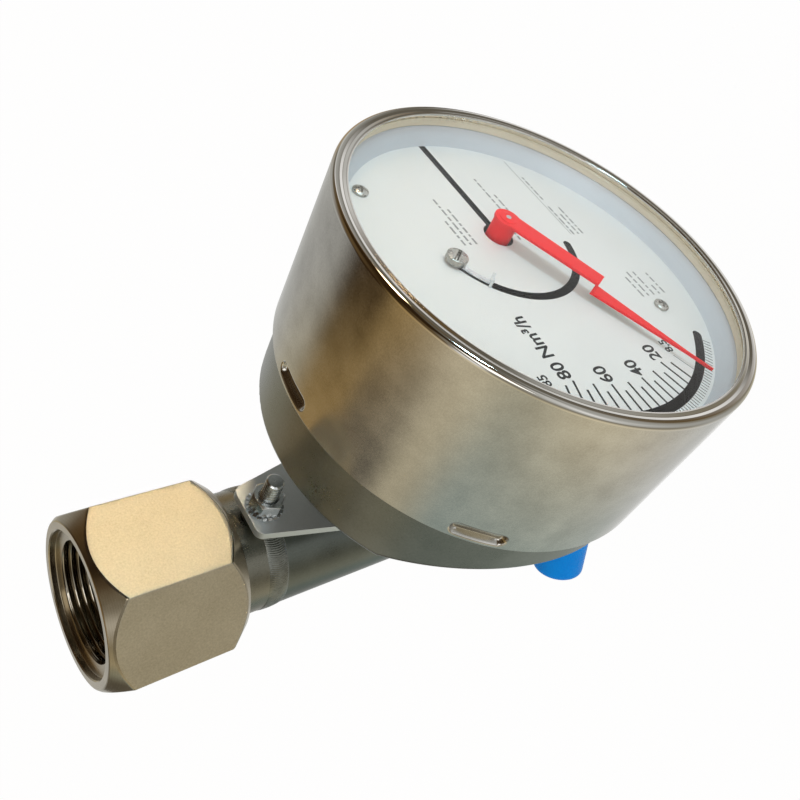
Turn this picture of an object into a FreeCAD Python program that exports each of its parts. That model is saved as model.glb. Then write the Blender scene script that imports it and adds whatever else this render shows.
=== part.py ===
import FreeCAD
import Part
import Sketcher
import math
import os
import re

# Metal-tube flow meter: an upright pipe with a float in it, and a round indicator on a bracket in front.
# Frame: origin at the centre of the inlet mouth, +Z along the flow, the dial faces -Y. Millimetres, degrees.

DRIVING = {
    # Pipe and screwed ends, heights counted from a mouth
    "overall_length": 245.0,
    "hex_flats": 55.0,
    "hex_length": 45.5,
    "mouth_face_radius": 26.3,
    "mouth_chamfer_rise": 1.15,
    "rear_face_radius": 26.0,
    "rear_chamfer_rise": 1.20,
    "tube_radius": 21.2,
    "weld_plane": 58.9,
    "bead_radius": 21.6,
    "bead_half": 3.7,
    "bead_toe": 1.0,
    "seat_radius": 23.4,
    "seat_depth": 2.2,
    "seat_fall": 0.6,
    "thread_radius": 19.5,
    "thread_length": 24.9,
    "passage_radius": 17.5,
    "passage_lead": 2.0,
    # Float and its guides
    "guide_shoulder": 70.0,
    "guide_height": 8.0,
    "guide_rim": 1.6,
    "guide_hub_radius": 6.0,
    "vane_half": 1.0,
    "vane_inset": 1.0,
    "vane_count": 3,
    "ring_height": 1.5,
    "ring_radius": 18.3,
    "ring_inner": 15.6,
    "ring_gap_half": 3.0,
    "throat_height": 78.0,
    "throat_radius": 13.6,
    "cone_top_radius": 15.5,
    "rod_radius": 3.0,
    "rod_clearance": 0.06,
    "rod_low": 29.0,
    "rod_high": 183.5,
    "float_low": 70.5,
    "float_edge_low": 80.0,
    "float_edge_high": 83.0,
    "float_edge_radius": 13.2,
    "float_neck": 89.0,
    "float_body_radius": 10.0,
    "float_top": 126.0,
    "float_nose": 134.0,
    "magnet_low": 94.0,
    "magnet_high": 118.0,
    "magnet_radius": 8.0,
    # Bracket, depths counted forwards from the pipe axis
    "dial_height": 122.5,
    "plate_back": 23.3,
    "plate_front": 26.3,
    "tab_reach": 71.4,
    "tab_half": 9.2,
    "tab_corner": 3.0,
    "plate_half": 20.3,
    "plate_knee": 22.0,
    "stud_reach": 64.8,
    "stud_radius": 3.0,
    "stud_tip": 40.4,
    "stud_chamfer": 0.5,
    "stud_hole": 3.3,
    "boss_radius": 6.4,
    "boss_foot": 12.0,
    "washer_radius": 6.3,
    "washer_gauge": 1.1,
    "washer_bore": 3.2,
    "washer_teeth": 12,
    "tooth_gap": 0.75,
    "nut_flats": 10.0,
    "nut_height": 5.0,
    "nut_bore": 3.05,
    "nut_face_radius": 4.8,
    "nut_chamfer_rise": 0.58,
    "pillar_x": 14.5,
    "pillar_y": 22.0,
    "pillar_radius": 4.5,
    "pillar_bore": 2.55,
    "pillar_bore_depth": 13.0,
    "screw_radius": 2.5,
    "screw_hole": 2.75,
    "screw_head_radius": 4.25,
    "screw_head_height": 2.6,
    "screw_depth": 12.0,
    # Rear pan
    "pan_back": 48.0,
    "pan_radius": 65.5,
    "pan_gauge": 1.0,
    "pan_flat_half": 37.2,
    "bevel_rise": 14.7,
    "pan_edge": 2.0,
    "neck_radius": 63.9,
    "neck_back": 73.3,
    "lug_back": 81.2,
    "lug_front": 86.0,
    "pan_front": 100.0,
    "lug_gap_half": 11.0,
    "lug_gap_angle": 43.0,
    "seal_radius": 1.15,
    "seal_height": 95.0,
    # Cover and window
    "cover_radius": 67.5,
    "cover_gauge": 1.0,
    "lip_gauge": 0.8,
    "cover_back": 73.3,
    "cover_front": 130.7,
    "lip_radius": 62.7,
    "bezel_roll": 2.4,
    "dimple_count": 6,
    "dimple_angle": 83.0,
    "dimple_height": 77.1,
    "dimple_half": 6.2,
    "dimple_radius": 2.6,
    "dimple_boss_radius": 3.6,
    "dimple_floor": 65.4,
    "dimple_merge": 66.6,
    "gasket_radius": 65.1,
    "gasket_inner": 63.3,
    "gasket_gauge": 0.6,
    "gasket_foot_radius": 66.3,
    "gasket_foot_inner": 64.0,
    "gasket_foot_height": 2.6,
    "glass_gauge": 2.3,
    "clamp_height": 1.2,
    "clamp_inner": 64.9,
    # Dial and its ring
    "dial_front": 118.8,
    "dial_gauge": 1.0,
    "dial_radius": 62.0,
    "ring_low_radius": 60.7,
    "ring_high_radius": 64.1,
    "ring_wall": 0.5,
    "dial_ring_height": 5.4,
    "pivot_x": 16.6,
    "pivot_y": 2.9,
    "hub_hole": 5.0,
    "radial_slot_half": 1.35,
    "inner_slot_radius": 26.6,
    "inner_slot_half": 1.4,
    "inner_slot_start": 110.0,
    "inner_slot_sweep": 145.0,
    "outer_slot_radius": 55.6,
    "outer_slot_half": 1.6,
    "outer_slot_start": 129.0,
    "outer_slot_sweep": 102.0,
    "upper_screw_x": 39.2,
    "upper_screw_y": 41.2,
    "lower_screw_x": -21.5,
    "lower_screw_y": -38.9,
    "dial_screw_radius": 1.5,
    "dial_screw_hole": 1.6,
    "dial_screw_head": 2.5,
    "dial_screw_rise": 1.4,
    "dial_screw_depth": 7.0,
    "dial_pillar_radius": 3.0,
    "dial_pillar_bore": 1.55,
    "dial_pillar_bore_depth": 8.0,
    "stop_sweep": 26.0,
    "stop_half": 1.9,
    "stop_gauge": 0.8,
    "stop_tab_rise": 2.0,
    "stop_tab_half": 1.8,
    "stop_hole": 1.3,
    "stop_eye": 3.4,
    "stop_screw_head": 3.7,
    "stop_screw_rise": 2.2,
    "stop_screw_radius": 1.2,
    "stop_screw_low": 113.9,
    "stop_nut_flats": 5.0,
    "stop_nut_height": 2.0,
    # Pointer, reaches counted from its pivot
    "pointer_angle": 205.8,
    "hub_radius": 3.9,
    "hub_low": 114.9,
    "hub_bore_end": 123.9,
    "arm_front": 125.3,
    "arm_gauge": 0.8,
    "arm_end_radius": 4.3,
    "arm_half": 3.6,
    "step_half": 2.9,
    "step_reach": 33.2,
    "needle_front": 121.8,
    "needle_half": 2.7,
    "needle_reach": 66.0,
    "needle_end_half": 0.35,
    "tip_reach": 74.2,
    "tip_half": 0.3,
    "tip_depth": 0.3,
    # Movement behind the dial
    "frame_back": 58.0,
    "frame_front": 60.0,
    "frame_radius": 60.0,
    "frame_left": -40.0,
    "frame_right": 47.0,
    "post_x": 28.0,
    "post_y": 30.0,
    "low_post_x": 4.0,
    "low_post_y": -40.0,
    "post_radius": 4.0,
    "post_bore": 2.05,
    "post_screw_radius": 2.0,
    "post_screw_hole": 2.2,
    "post_screw_low": 51.0,
    "post_head_radius": 3.5,
    "post_head_rise": 2.5,
    "bridge_back": 104.0,
    "bridge_gauge": 2.0,
    "bridge_half_length": 24.0,
    "bridge_half_width": 8.0,
    "bridge_foot": 6.0,
    "bush_radius": 4.0,
    "bush_flange": 5.5,
    "bush_rise": 1.0,
    "bush_bore": 1.55,
    "shaft_radius": 1.5,
    "shaft_low": 50.5,
    "follower_low": 51.0,
    "follower_high": 56.5,
    "follower_radius": 12.0,
    "brake_low": 79.0,
    "brake_gauge": 1.0,
    "brake_radius": 16.0,
    "brake_hub_radius": 4.0,
    "brake_hub_half": 2.5,
    "yoke_near": 9.5,
    "yoke_far": 20.5,
    "yoke_half": 5.0,
    "yoke_back_wall": 3.5,
    "yoke_front": 87.0,
    "yoke_gap_half": 1.5,
    "weight_low": 92.0,
    "weight_gauge": 3.0,
    "weight_reach": 14.0,
    "weight_radius": 5.0,
    "weight_arm_half": 2.5,
    # Cable entry on the left bevel, heights counted out from the bevel
    "entry_x": -52.3,
    "entry_y": -14.7,
    "nipple_radius": 6.5,
    "nipple_bore": 4.5,
    "nipple_low": -6.0,
    "nipple_top": 14.0,
    "nipple_flange": 8.8,
    "nipple_flange_rise": 2.5,
    "locknut_flats": 18.0,
    "locknut_height": 4.0,
    "cap_radius": 8.8,
    "cap_tip_radius": 8.4,
    "cap_wall": 1.6,
    "cap_end": 20.1,
    "cap_edge": 2.6,
}

doc = FreeCAD.newDocument("flow_meter")
sheet = doc.addObject("Spreadsheet::Sheet", "Dims")
for row, (alias, value) in enumerate(DRIVING.items(), start=1):
    sheet.set(f"A{row}", str(value))
    sheet.setAlias(f"A{row}", alias)
doc.recompute()

nodes = []
X_AXIS = FreeCAD.Vector(1, 0, 0)
Y_AXIS = FreeCAD.Vector(0, 1, 0)
Z_AXIS = FreeCAD.Vector(0, 0, 1)


def bind(text):
    # Every word that is a driving dimension becomes a reference to its cell
    return re.sub(r"[a-z][a-z_]*", lambda word: "Dims." + word[0] if word[0] in DRIVING else word[0], text)


def drive(item, **properties):
    for name, text in properties.items():
        item.setExpression(name, bind(text))


def keep(item, label):
    item.Label = label
    nodes.append(item)


# Placements
def place(item, rotation, x="0", y="0", z="0"):
    item.Placement = FreeCAD.Placement(FreeCAD.Vector(), rotation)
    drive(item, **{".Placement.Base.x": x, ".Placement.Base.y": y, ".Placement.Base.z": z})


def on_pipe(item, z="0", flip=False):
    place(item, FreeCAD.Rotation(X_AXIS, 180 if flip else 0), z=z)


def on_dial(item, x="0", y="0", spin=0.0):
    # Local x is to the dial's right, y is up and z comes forward from the pipe axis
    facing = FreeCAD.Rotation(X_AXIS, 90) * FreeCAD.Rotation(Z_AXIS, spin)
    place(item, facing, x=x, z=f"dial_height + ({y})")


def on_pivot(item, spin=0.0):
    on_dial(item, "pivot_x", "pivot_y", spin)


def on_pointer(item):
    # Local x runs out along the pointer
    on_pivot(item, DRIVING["pointer_angle"])


def on_entry(item):
    # Local z is the outward normal of the left bevel
    normal = FreeCAD.Vector(-DRIVING["bevel_rise"], DRIVING["pan_radius"] - DRIVING["pan_flat_half"], 0)
    depth = f"pan_back - (entry_x + pan_flat_half) * {BEVEL_SLOPE}"
    place(item, FreeCAD.Rotation(Z_AXIS, normal), x="entry_x", y=f"-({depth})", z="dial_height + entry_y")


BEVEL_SLOPE = "bevel_rise / (pan_radius - pan_flat_half)"


# Sketches, whose every size is an expression
def new_body(name, put, *where):
    body = doc.addObject("PartDesign::Body", name)
    put(body, *where)
    return body


def origin_of(body, role):
    return next(item for item in body.Origin.OriginFeatures if item.Role == role)


def fix(sketch, kind, *target, text, start=1.0):
    index = sketch.addConstraint(Sketcher.Constraint(kind, *target, start))
    sketch.setExpression(f"Constraints[{index}]", bind(text))


def fix_point(sketch, geometry, vertex, x, y, start=(1.0, 1.0)):
    fix(sketch, "DistanceX", -1, 1, geometry, vertex, text=x, start=start[0])
    fix(sketch, "DistanceY", -1, 1, geometry, vertex, text=y, start=start[1])


def draw_polygon(sketch, corners):
    # The corners start on a unit circle and their expressions then move them into place
    count = len(corners)
    angles = [2 * math.pi * i / count for i in range(count)]
    rough = [FreeCAD.Vector(math.cos(angle), math.sin(angle), 0) for angle in angles]
    lines = [sketch.addGeometry(Part.LineSegment(rough[i - 1], rough[i])) for i in range(count)]
    for i, line in enumerate(lines):
        sketch.addConstraint(Sketcher.Constraint("Coincident", lines[i - 1], 2, line, 1))
    for line, (x, y) in zip(lines, corners):
        fix_point(sketch, line, 1, x, y)


def draw_circle(sketch, x, y, radius):
    ring = sketch.addGeometry(Part.Circle(FreeCAD.Vector(), Z_AXIS, 1.0))
    fix_point(sketch, ring, 3, x, y)
    fix(sketch, "Radius", ring, text=radius)


def draw_stadium(sketch, y, half, radius):
    # Two parallel sides and two round ends, centred on x = 0
    middle = DRIVING[y]
    reach = DRIVING[half]
    size = DRIVING[radius]
    quarter = math.pi / 2
    right = Part.Circle(FreeCAD.Vector(reach, middle, 0), Z_AXIS, size)
    left = Part.Circle(FreeCAD.Vector(-reach, middle, 0), Z_AXIS, size)
    top = [FreeCAD.Vector(x, middle + size, 0) for x in (reach, -reach)]
    low = [FreeCAD.Vector(x, middle - size, 0) for x in (-reach, reach)]
    pieces = [Part.ArcOfCircle(right, -quarter, quarter), Part.LineSegment(*top),
              Part.ArcOfCircle(left, quarter, 3 * quarter), Part.LineSegment(*low)]
    loop = [sketch.addGeometry(piece) for piece in pieces]
    fix_point(sketch, loop[0], 3, half, y, (reach, middle))
    fix_point(sketch, loop[2], 3, "-" + half, y, (-reach, middle))
    fix(sketch, "Radius", loop[0], text=radius, start=size)
    for i, piece in enumerate(loop):
        sketch.addConstraint(Sketcher.Constraint("Tangent", loop[i - 1], 2, piece, 1))


def new_sketch(body, role, loops, lift="0", shift="0", turn=0.0):
    # The sketch may be lifted off its plane, shifted sideways and turned about the body's Z axis
    sketch = body.newObject("Sketcher::SketchObject", body.Name + "_sketch")
    sketch.AttachmentSupport = [(origin_of(body, role), "")]
    sketch.MapMode = "FlatFace"
    axis = Z_AXIS if role == "XY_Plane" else Y_AXIS
    sketch.AttachmentOffset = FreeCAD.Placement(FreeCAD.Vector(), FreeCAD.Rotation(axis, turn))
    drive(sketch, **{".AttachmentOffset.Base.x": shift, ".AttachmentOffset.Base.z": lift})
    for draw, *sizes in loops:
        draw(sketch, *sizes)
    return sketch


def polygon(*corners):
    return (draw_polygon, corners)


def box(x_low, x_high, y_low, y_high):
    return polygon((x_low, y_low), (x_high, y_low), (x_high, y_high), (x_low, y_high))


def circle(radius, x="0", y="0"):
    return (draw_circle, x, y, radius)


def hexagon(flats):
    # Two of its flats face along the sketch's y axis
    reach = f"{flats} / 2 / cos(30)"
    return polygon(*[(f"{reach} * cos({60 * i})", f"{reach} * sin({60 * i})") for i in range(6)])


# Features
def feature(body, kind, sketch, **properties):
    item = body.newObject("PartDesign::" + kind, body.Name + "_" + kind.lower())
    item.Profile = sketch
    drive(item, **properties)
    return item


def pad(body, loops, low, high):
    return feature(body, "Pad", new_sketch(body, "XY_Plane", loops, low), Length=f"({high}) - ({low})")


def pocket(body, loops, low, high, turn=0.0):
    # The sketch lies at the high end, and the cut goes down from it
    sketch = new_sketch(body, "XY_Plane", loops, high, turn=turn)
    return feature(body, "Pocket", sketch, Length=f"({high}) - ({low})")


def spin(body, kind, loops, sweep="360", **where):
    # A profile in an upright plane, turned about the sketch's own vertical axis
    sketch = new_sketch(body, "XZ_Plane", loops, **where)
    item = feature(body, kind, sketch, Angle=sweep)
    item.ReferenceAxis = (sketch, ["V_Axis"])
    return item


def pattern(body, originals, count):
    item = body.newObject("PartDesign::PolarPattern", body.Name + "_pattern")
    item.Originals = originals
    item.Axis = (origin_of(body, "Z_Axis"), [""])
    item.Angle = 360
    drive(item, Occurrences=count)
    body.Tip = item


def fillet(body, base, chosen, radius):
    # Rounds the edges that the test picks
    doc.recompute()
    names = [f"Edge{i}" for i, edge in enumerate(base.Shape.Edges, start=1) if chosen(edge)]
    item = body.newObject("PartDesign::Fillet", body.Name + "_fillet")
    item.Base = (base, names)
    drive(item, Radius=radius)
    body.Tip = item
    return item


def turned(label, profile, put, *where):
    # A piece that is one turned profile
    body = new_body(label, put, *where)
    spin(body, "Revolution", [polygon(*profile)])
    keep(body, label)
    return body


def tube_profile(inner, outer, low, high):
    return [(inner, low), (outer, low), (outer, high), (inner, high)]


def screw_profile(radius, head_radius, tip, seat, head):
    return [("0", tip), (radius, tip), (radius, seat), (head_radius, seat), (head_radius, head), ("0", head)]


def blind_profile(radius, bore, low, high, bore_low):
    # A post with a blind hole in its high end
    return [("0", low), (radius, low), (radius, high), (bore, high), (bore, bore_low), ("0", bore_low)]


def cut(label, base, tool):
    item = doc.addObject("Part::Cut", label)
    item.Base = base
    item.Tool = tool
    return item


# The pipe
def make_coupling(label, z, flip):
    # Hexagon socket: chamfered hexagon, welding neck, sealing seat, thread bore and passage
    body = new_body(label, on_pipe, z, flip)
    pad(body, [hexagon("hex_flats")], "0", "hex_length")
    wide = "hex_flats"
    fall = f"({wide} - mouth_face_radius) * mouth_chamfer_rise"
    spin(body, "Groove", [polygon(("mouth_face_radius", "0"), (wide, "0"), (wide, fall))])
    rise = f"hex_length - ({wide} - rear_face_radius) * rear_chamfer_rise"
    spin(body, "Groove", [polygon(("rear_face_radius", "hex_length"), (wide, rise), (wide, "hex_length"))])
    toe = "weld_plane - bead_half"
    neck = polygon(("passage_radius", "hex_length - bead_toe"), ("tube_radius", "hex_length - bead_toe"),
                   ("tube_radius", toe), ("bead_radius", f"{toe} + bead_toe"), ("bead_radius", "weld_plane"),
                   ("passage_radius", "weld_plane"))
    spin(body, "Revolution", [neck])
    thread_low = "seat_depth + seat_fall"
    thread_high = f"{thread_low} + thread_length"
    bore = polygon(("0", "0"), ("seat_radius", "0"), ("seat_radius", "seat_depth"),
                   ("thread_radius", thread_low), ("thread_radius", thread_high),
                   ("passage_radius", f"{thread_high} + passage_lead"), ("passage_radius", "weld_plane"),
                   ("0", "weld_plane"))
    spin(body, "Groove", [bore])
    keep(body, label)


def make_tube():
    # Metering tube: weld beads outside, and inside a guide seat at each end of a slow cone
    ring_high = "guide_shoulder - guide_height"
    ring_low = f"{ring_high} - ring_height"
    end = [("tube_radius", "weld_plane + bead_half"), ("bead_radius", "weld_plane + bead_half - bead_toe"),
           ("bead_radius", "weld_plane"), ("passage_radius", "weld_plane"), ("passage_radius", ring_low),
           ("ring_radius", ring_low), ("ring_radius", ring_high), ("passage_radius", ring_high),
           ("passage_radius", "guide_shoulder"), ("cone_top_radius", "guide_shoulder")]
    other_end = [(radius, f"overall_length - ({height})") for radius, height in reversed(end)]
    turned("measuring_tube", end + [("throat_radius", "throat_height")] + other_end, on_pipe)


def make_guide(label, low):
    # Spider: rim, vanes and a hub that the float's rod runs in
    body = new_body(label, on_pipe, low)
    pad(body, [circle("guide_hub_radius")], "0", "guide_height")
    vane = box("guide_hub_radius - vane_inset", "passage_radius - guide_rim / 2", "-vane_half", "vane_half")
    blade = pad(body, [vane], "vane_inset", "guide_height - vane_inset")
    pattern(body, [blade], "vane_count")
    pad(body, [circle("passage_radius"), circle("passage_radius - guide_rim")], "0", "guide_height")
    pocket(body, [circle("rod_radius + rod_clearance")], "0", "guide_height")
    keep(body, label)


def make_snap_ring(label, low):
    body = new_body(label, on_pipe, low)
    pad(body, [circle("ring_radius"), circle("ring_inner")], "0", "ring_height")
    pocket(body, [box("-ring_gap_half", "ring_gap_half", "0", "2 * ring_radius")], "0", "ring_height")
    keep(body, label)


def make_float():
    # Float with a metering edge, a closed chamber for its magnet and a guide rod at both ends
    chamber = [("0", "magnet_low"), ("magnet_radius", "magnet_low"), ("magnet_radius", "magnet_high"),
               ("0", "magnet_high")]
    shell = [("0", "rod_low"), ("rod_radius", "rod_low"), ("rod_radius", "float_low"),
             ("float_edge_radius", "float_edge_low"), ("float_edge_radius", "float_edge_high"),
             ("float_body_radius", "float_neck"), ("float_body_radius", "float_top"),
             ("rod_radius", "float_nose"), ("rod_radius", "rod_high"), ("0", "rod_high")]
    body = turned("float_body", shell, on_pipe)
    spin(body, "Groove", [polygon(*chamber)])
    turned("float_magnet", chamber, on_pipe)


def make_pipe():
    make_coupling("inlet_coupling", "0", False)
    make_coupling("outlet_coupling", "overall_length", True)
    make_tube()
    upper = "overall_length - guide_shoulder"
    make_guide("lower_float_guide", "guide_shoulder - guide_height")
    make_guide("upper_float_guide", upper)
    make_snap_ring("lower_snap_ring", "guide_shoulder - guide_height - ring_height")
    make_snap_ring("upper_snap_ring", f"{upper} + guide_height")
    make_float()


# The bracket
def make_boss(label, y):
    # Round pad, saddled to the tube's weld bead, that carries a stud
    blank = new_body(label + "_blank", on_dial, "0", y)
    pad(blank, [circle("boss_radius")], "boss_foot", "plate_back")
    saddle = doc.addObject("Part::Cylinder", label + "_saddle")
    on_pipe(saddle)
    drive(saddle, Radius="bead_radius", Height="overall_length")
    keep(cut(label, blank, saddle), label)


def make_washer(label, y):
    # Lock washer with outward teeth
    body = new_body(label, on_dial, "0", y)
    front = "plate_front + washer_gauge"
    pad(body, [circle("washer_radius"), circle("washer_bore")], "plate_front", front)
    gap = pocket(body, [circle("tooth_gap", "washer_radius")], "plate_front", front)
    pattern(body, [gap], "washer_teeth")
    keep(body, label)


def make_stud_nut(label, y):
    body = new_body(label, on_dial, "0", y)
    seat = "plate_front + washer_gauge"
    top = f"{seat} + nut_height"
    pad(body, [hexagon("nut_flats"), circle("nut_bore")], seat, top)
    fall = f"{top} - (nut_flats - nut_face_radius) * nut_chamfer_rise"
    spin(body, "Groove", [polygon(("nut_face_radius", top), ("nut_flats", fall), ("nut_flats", top))])
    keep(body, label)


def make_bracket_plate():
    # Flat plate with a tapering tab at each end
    body = new_body("bracket_plate", on_dial)
    side = [("tab_half", "tab_reach"), ("plate_half", "plate_knee"), ("plate_half", "-plate_knee"),
            ("tab_half", "-tab_reach")]
    other_side = [("-" + x, y) for x, y in reversed(side)]
    blank = pad(body, [polygon(*side, *other_side)], "plate_back", "plate_front")
    gauge = DRIVING["plate_front"] - DRIVING["plate_back"]

    def at_tab_corner(edge):
        return abs(edge.Length - gauge) < 0.01 and abs(abs(edge.CenterOfMass.y) - DRIVING["tab_reach"]) < 0.01

    fillet(body, blank, at_tab_corner, "tab_corner")
    holes = [circle("stud_hole", "0", y) for y in ("stud_reach", "-stud_reach")]
    holes += [circle("screw_hole", x, y) for x, y in PILLAR_SPOTS]
    pocket(body, holes, "plate_back", "plate_front")
    keep(body, "bracket_plate")


PILLAR_SPOTS = [(x, y) for x in ("-pillar_x", "pillar_x") for y in ("-pillar_y", "pillar_y")]


def make_bracket():
    make_bracket_plate()
    for end, y in (("lower", "-stud_reach"), ("upper", "stud_reach")):
        make_boss(end + "_boss", y)
        stud = [("0", "plate_back"), ("stud_radius", "plate_back"), ("stud_radius", "stud_tip - stud_chamfer"),
                ("stud_radius - stud_chamfer", "stud_tip"), ("0", "stud_tip")]
        turned(end + "_stud", stud, on_dial, "0", y)
        make_washer(end + "_washer", y)
        make_stud_nut(end + "_nut", y)
    for number, (x, y) in enumerate(PILLAR_SPOTS, start=1):
        # The pillars hold the pan, and their screws come through the plate from behind
        bore_end = "plate_front + pillar_bore_depth"
        post = [("pillar_bore", "plate_front"), ("pillar_radius", "plate_front"), ("pillar_radius", "pan_back"),
                ("0", "pan_back"), ("0", bore_end), ("pillar_bore", bore_end)]
        turned(f"housing_pillar_{number}", post, on_dial, x, y)
        head = "plate_back - screw_head_height"
        screw = screw_profile("screw_radius", "screw_head_radius", "plate_front + screw_depth", "plate_back", head)
        turned(f"housing_screw_{number}", screw, on_dial, x, y)


# The rear pan
def cut_bevels(body, flat_half, back):
    # Two planes that fall from the flat back to the side walls, cut right across
    wide = "2 * pan_radius"
    drop = f"{back} + ({wide} - ({flat_half})) * {BEVEL_SLOPE}"
    for side in ("", "-"):
        waste = polygon((f"{side}({flat_half})", back), (f"{side}({wide})", drop), (f"{side}({wide})", "0"),
                        (f"{side}({flat_half})", "0"))
        sketch = new_sketch(body, "XZ_Plane", [waste], lift="2 * pan_radius")
        last = feature(body, "Pocket", sketch, Length="4 * pan_radius")
    return last


def make_pan_outside():
    body = new_body("pan_outside", on_dial)
    profile = [("0", "pan_back"), ("pan_radius", "pan_back"),
               ("pan_radius", "neck_back - (pan_radius - neck_radius)"), ("neck_radius", "neck_back"),
               ("neck_radius", "lug_back"), ("pan_radius", "lug_back"), ("pan_radius", "lug_front"),
               ("neck_radius", "lug_front"), ("neck_radius", "pan_front"), ("0", "pan_front")]
    spin(body, "Revolution", [polygon(*profile)])
    bevels = cut_bevels(body, "pan_flat_half", "pan_back")
    rim = DRIVING["pan_radius"]
    bevel_end = DRIVING["pan_back"] + DRIVING["bevel_rise"]

    def on_back_edge(edge):
        points = edge.discretize(5)
        return all(abs(math.hypot(p.x, p.y) - rim) < 0.01 and p.z < bevel_end + 0.01 for p in points)

    fillet(body, bevels, on_back_edge, "pan_edge")
    gap = box("neck_radius", "2 * pan_radius", "-lug_gap_half", "lug_gap_half")
    notch = pocket(body, [gap], "lug_back", "lug_front", DRIVING["lug_gap_angle"])
    pattern(body, [notch], "dimple_count")
    return body


def make_pan_inside():
    body = new_body("pan_inside", on_dial)
    floor = "pan_back + pan_gauge"
    wide = "pan_radius - pan_gauge"
    narrow = "neck_radius - pan_gauge"
    profile = [("0", floor), (wide, floor), (wide, "neck_back - pan_gauge - (pan_radius - neck_radius)"),
               (narrow, "neck_back - pan_gauge"), (narrow, "pan_front"), ("0", "pan_front")]
    spin(body, "Revolution", [polygon(*profile)])
    # The sheet is as thick on the bevels as on the back, so the inner fold moves inwards
    fold = f"pan_flat_half - pan_gauge * (sqrt(1 + ({BEVEL_SLOPE})^2) - 1) / ({BEVEL_SLOPE})"
    cut_bevels(body, fold, floor)
    return body


def make_pan():
    # Pressed cup: flat back with two bevels, a necked bayonet track and a ring of lugs
    drill = new_body("entry_drill", on_entry)
    pad(drill, [circle("nipple_radius")], "-2 * pan_gauge", "2 * pan_gauge")
    shell = cut("pan_shell", make_pan_outside(), make_pan_inside())
    keep(cut("rear_pan", shell, drill), "rear_pan")
    seal = doc.addObject("Part::Torus", "cover_seal")
    place(seal, FreeCAD.Rotation(X_AXIS, 90), y="-seal_height", z="dial_height")
    drive(seal, Radius1="neck_radius + seal_radius", Radius2="seal_radius")
    keep(seal, "cover_seal")


def make_cable_entry():
    # Threaded nipple through the bevel, its lock nut inside and a push-on cap
    nipple = [("nipple_bore", "nipple_low"), ("nipple_radius", "nipple_low"), ("nipple_radius", "0"),
              ("nipple_flange", "0"), ("nipple_flange", "nipple_flange_rise"),
              ("nipple_radius", "nipple_flange_rise"), ("nipple_radius", "nipple_top"),
              ("nipple_bore", "nipple_top")]
    turned("entry_nipple", nipple, on_entry)
    locknut = new_body("entry_locknut", on_entry)
    pad(locknut, [hexagon("locknut_flats"), circle("nipple_radius")], "-pan_gauge - locknut_height", "-pan_gauge")
    keep(locknut, "entry_locknut")
    inner_end = "cap_end - cap_wall"
    cap = [("nipple_radius", "nipple_flange_rise"), ("cap_radius", "nipple_flange_rise"),
           ("cap_tip_radius", "cap_end"), ("0", "cap_end"), ("0", inner_end), ("nipple_radius", inner_end)]
    body = turned("entry_cap", cap, on_entry)

    def at_tip(edge):
        return all(abs(p.z - DRIVING["cap_end"]) < 0.01 for p in edge.discretize(5))

    fillet(body, body.Tip, at_tip, "cap_edge")


# The cover and its window
def make_cover():
    # Deep-drawn cap with a turned-in bezel and a ring of pressed dimples that lock behind the pan's lugs
    body = new_body("front_cover", on_dial, "0", "0", DRIVING["dimple_angle"] - 90)
    inner = "cover_radius - cover_gauge"
    lip_back = "cover_front - lip_gauge"
    profile = [(inner, "cover_back"), ("cover_radius", "cover_back"), ("cover_radius", "cover_front"),
               ("lip_radius", "cover_front"), ("lip_radius", lip_back), (inner, lip_back)]
    wall = spin(body, "Revolution", [polygon(*profile)])
    front = DRIVING["cover_front"]

    def ring_at(radius, height):
        return lambda edge: all(abs(math.hypot(p.x, p.y) - radius) < 0.01 and abs(p.z - height) < 0.01
                                for p in edge.discretize(5))

    outside = fillet(body, wall, ring_at(DRIVING["cover_radius"], front), "bezel_roll")
    inside = ring_at(DRIVING["cover_radius"] - DRIVING["cover_gauge"], front - DRIVING["lip_gauge"])
    fillet(body, outside, inside, "bezel_roll - cover_gauge")
    boss_low = "dimple_floor - cover_gauge"
    boss = new_sketch(body, "XZ_Plane", [(draw_stadium, "dimple_height", "dimple_half", "dimple_boss_radius")],
                      f"-({boss_low})")
    pressed = feature(body, "Pad", boss, Length=f"dimple_merge - ({boss_low})")
    pressed.Reversed = True
    hollow = new_sketch(body, "XZ_Plane", [(draw_stadium, "dimple_height", "dimple_half", "dimple_radius")],
                        "-(cover_radius + cover_gauge)")
    sunk = feature(body, "Pocket", hollow, Length="cover_radius + cover_gauge - dimple_floor")
    sunk.Reversed = True
    pattern(body, [pressed, sunk], "dimple_count")
    keep(body, "front_cover")


def make_window():
    # From the bezel lip inwards: a gasket round the glass with a tall foot behind it, and a ring that clamps both
    front = "cover_front - lip_gauge"
    glass_front = f"{front} - gasket_gauge"
    glass_back = f"{glass_front} - glass_gauge"
    back = f"{glass_back} - gasket_foot_height"
    glass_radius = "gasket_radius - gasket_gauge"
    channel = [("gasket_inner", front), ("gasket_radius", front), ("gasket_radius", glass_back),
               ("gasket_foot_radius", glass_back), ("gasket_foot_radius", back), ("gasket_foot_inner", back),
               ("gasket_foot_inner", glass_back), (glass_radius, glass_back), (glass_radius, glass_front),
               ("gasket_inner", glass_front)]
    turned("window_gasket", channel, on_dial)
    pane = [("0", glass_back), (glass_radius, glass_back), (glass_radius, glass_front), ("0", glass_front)]
    turned("window_glass", pane, on_dial)
    clamp = tube_profile("clamp_inner", "cover_radius - cover_gauge", f"{back} - clamp_height", back)
    turned("window_clamp", clamp, on_dial)


# The dial
def slot_end(radius, angle, x="0", y="0"):
    return (f"{x} + {radius} * cos({angle})", f"{y} + {radius} * sin({angle})")


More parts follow.
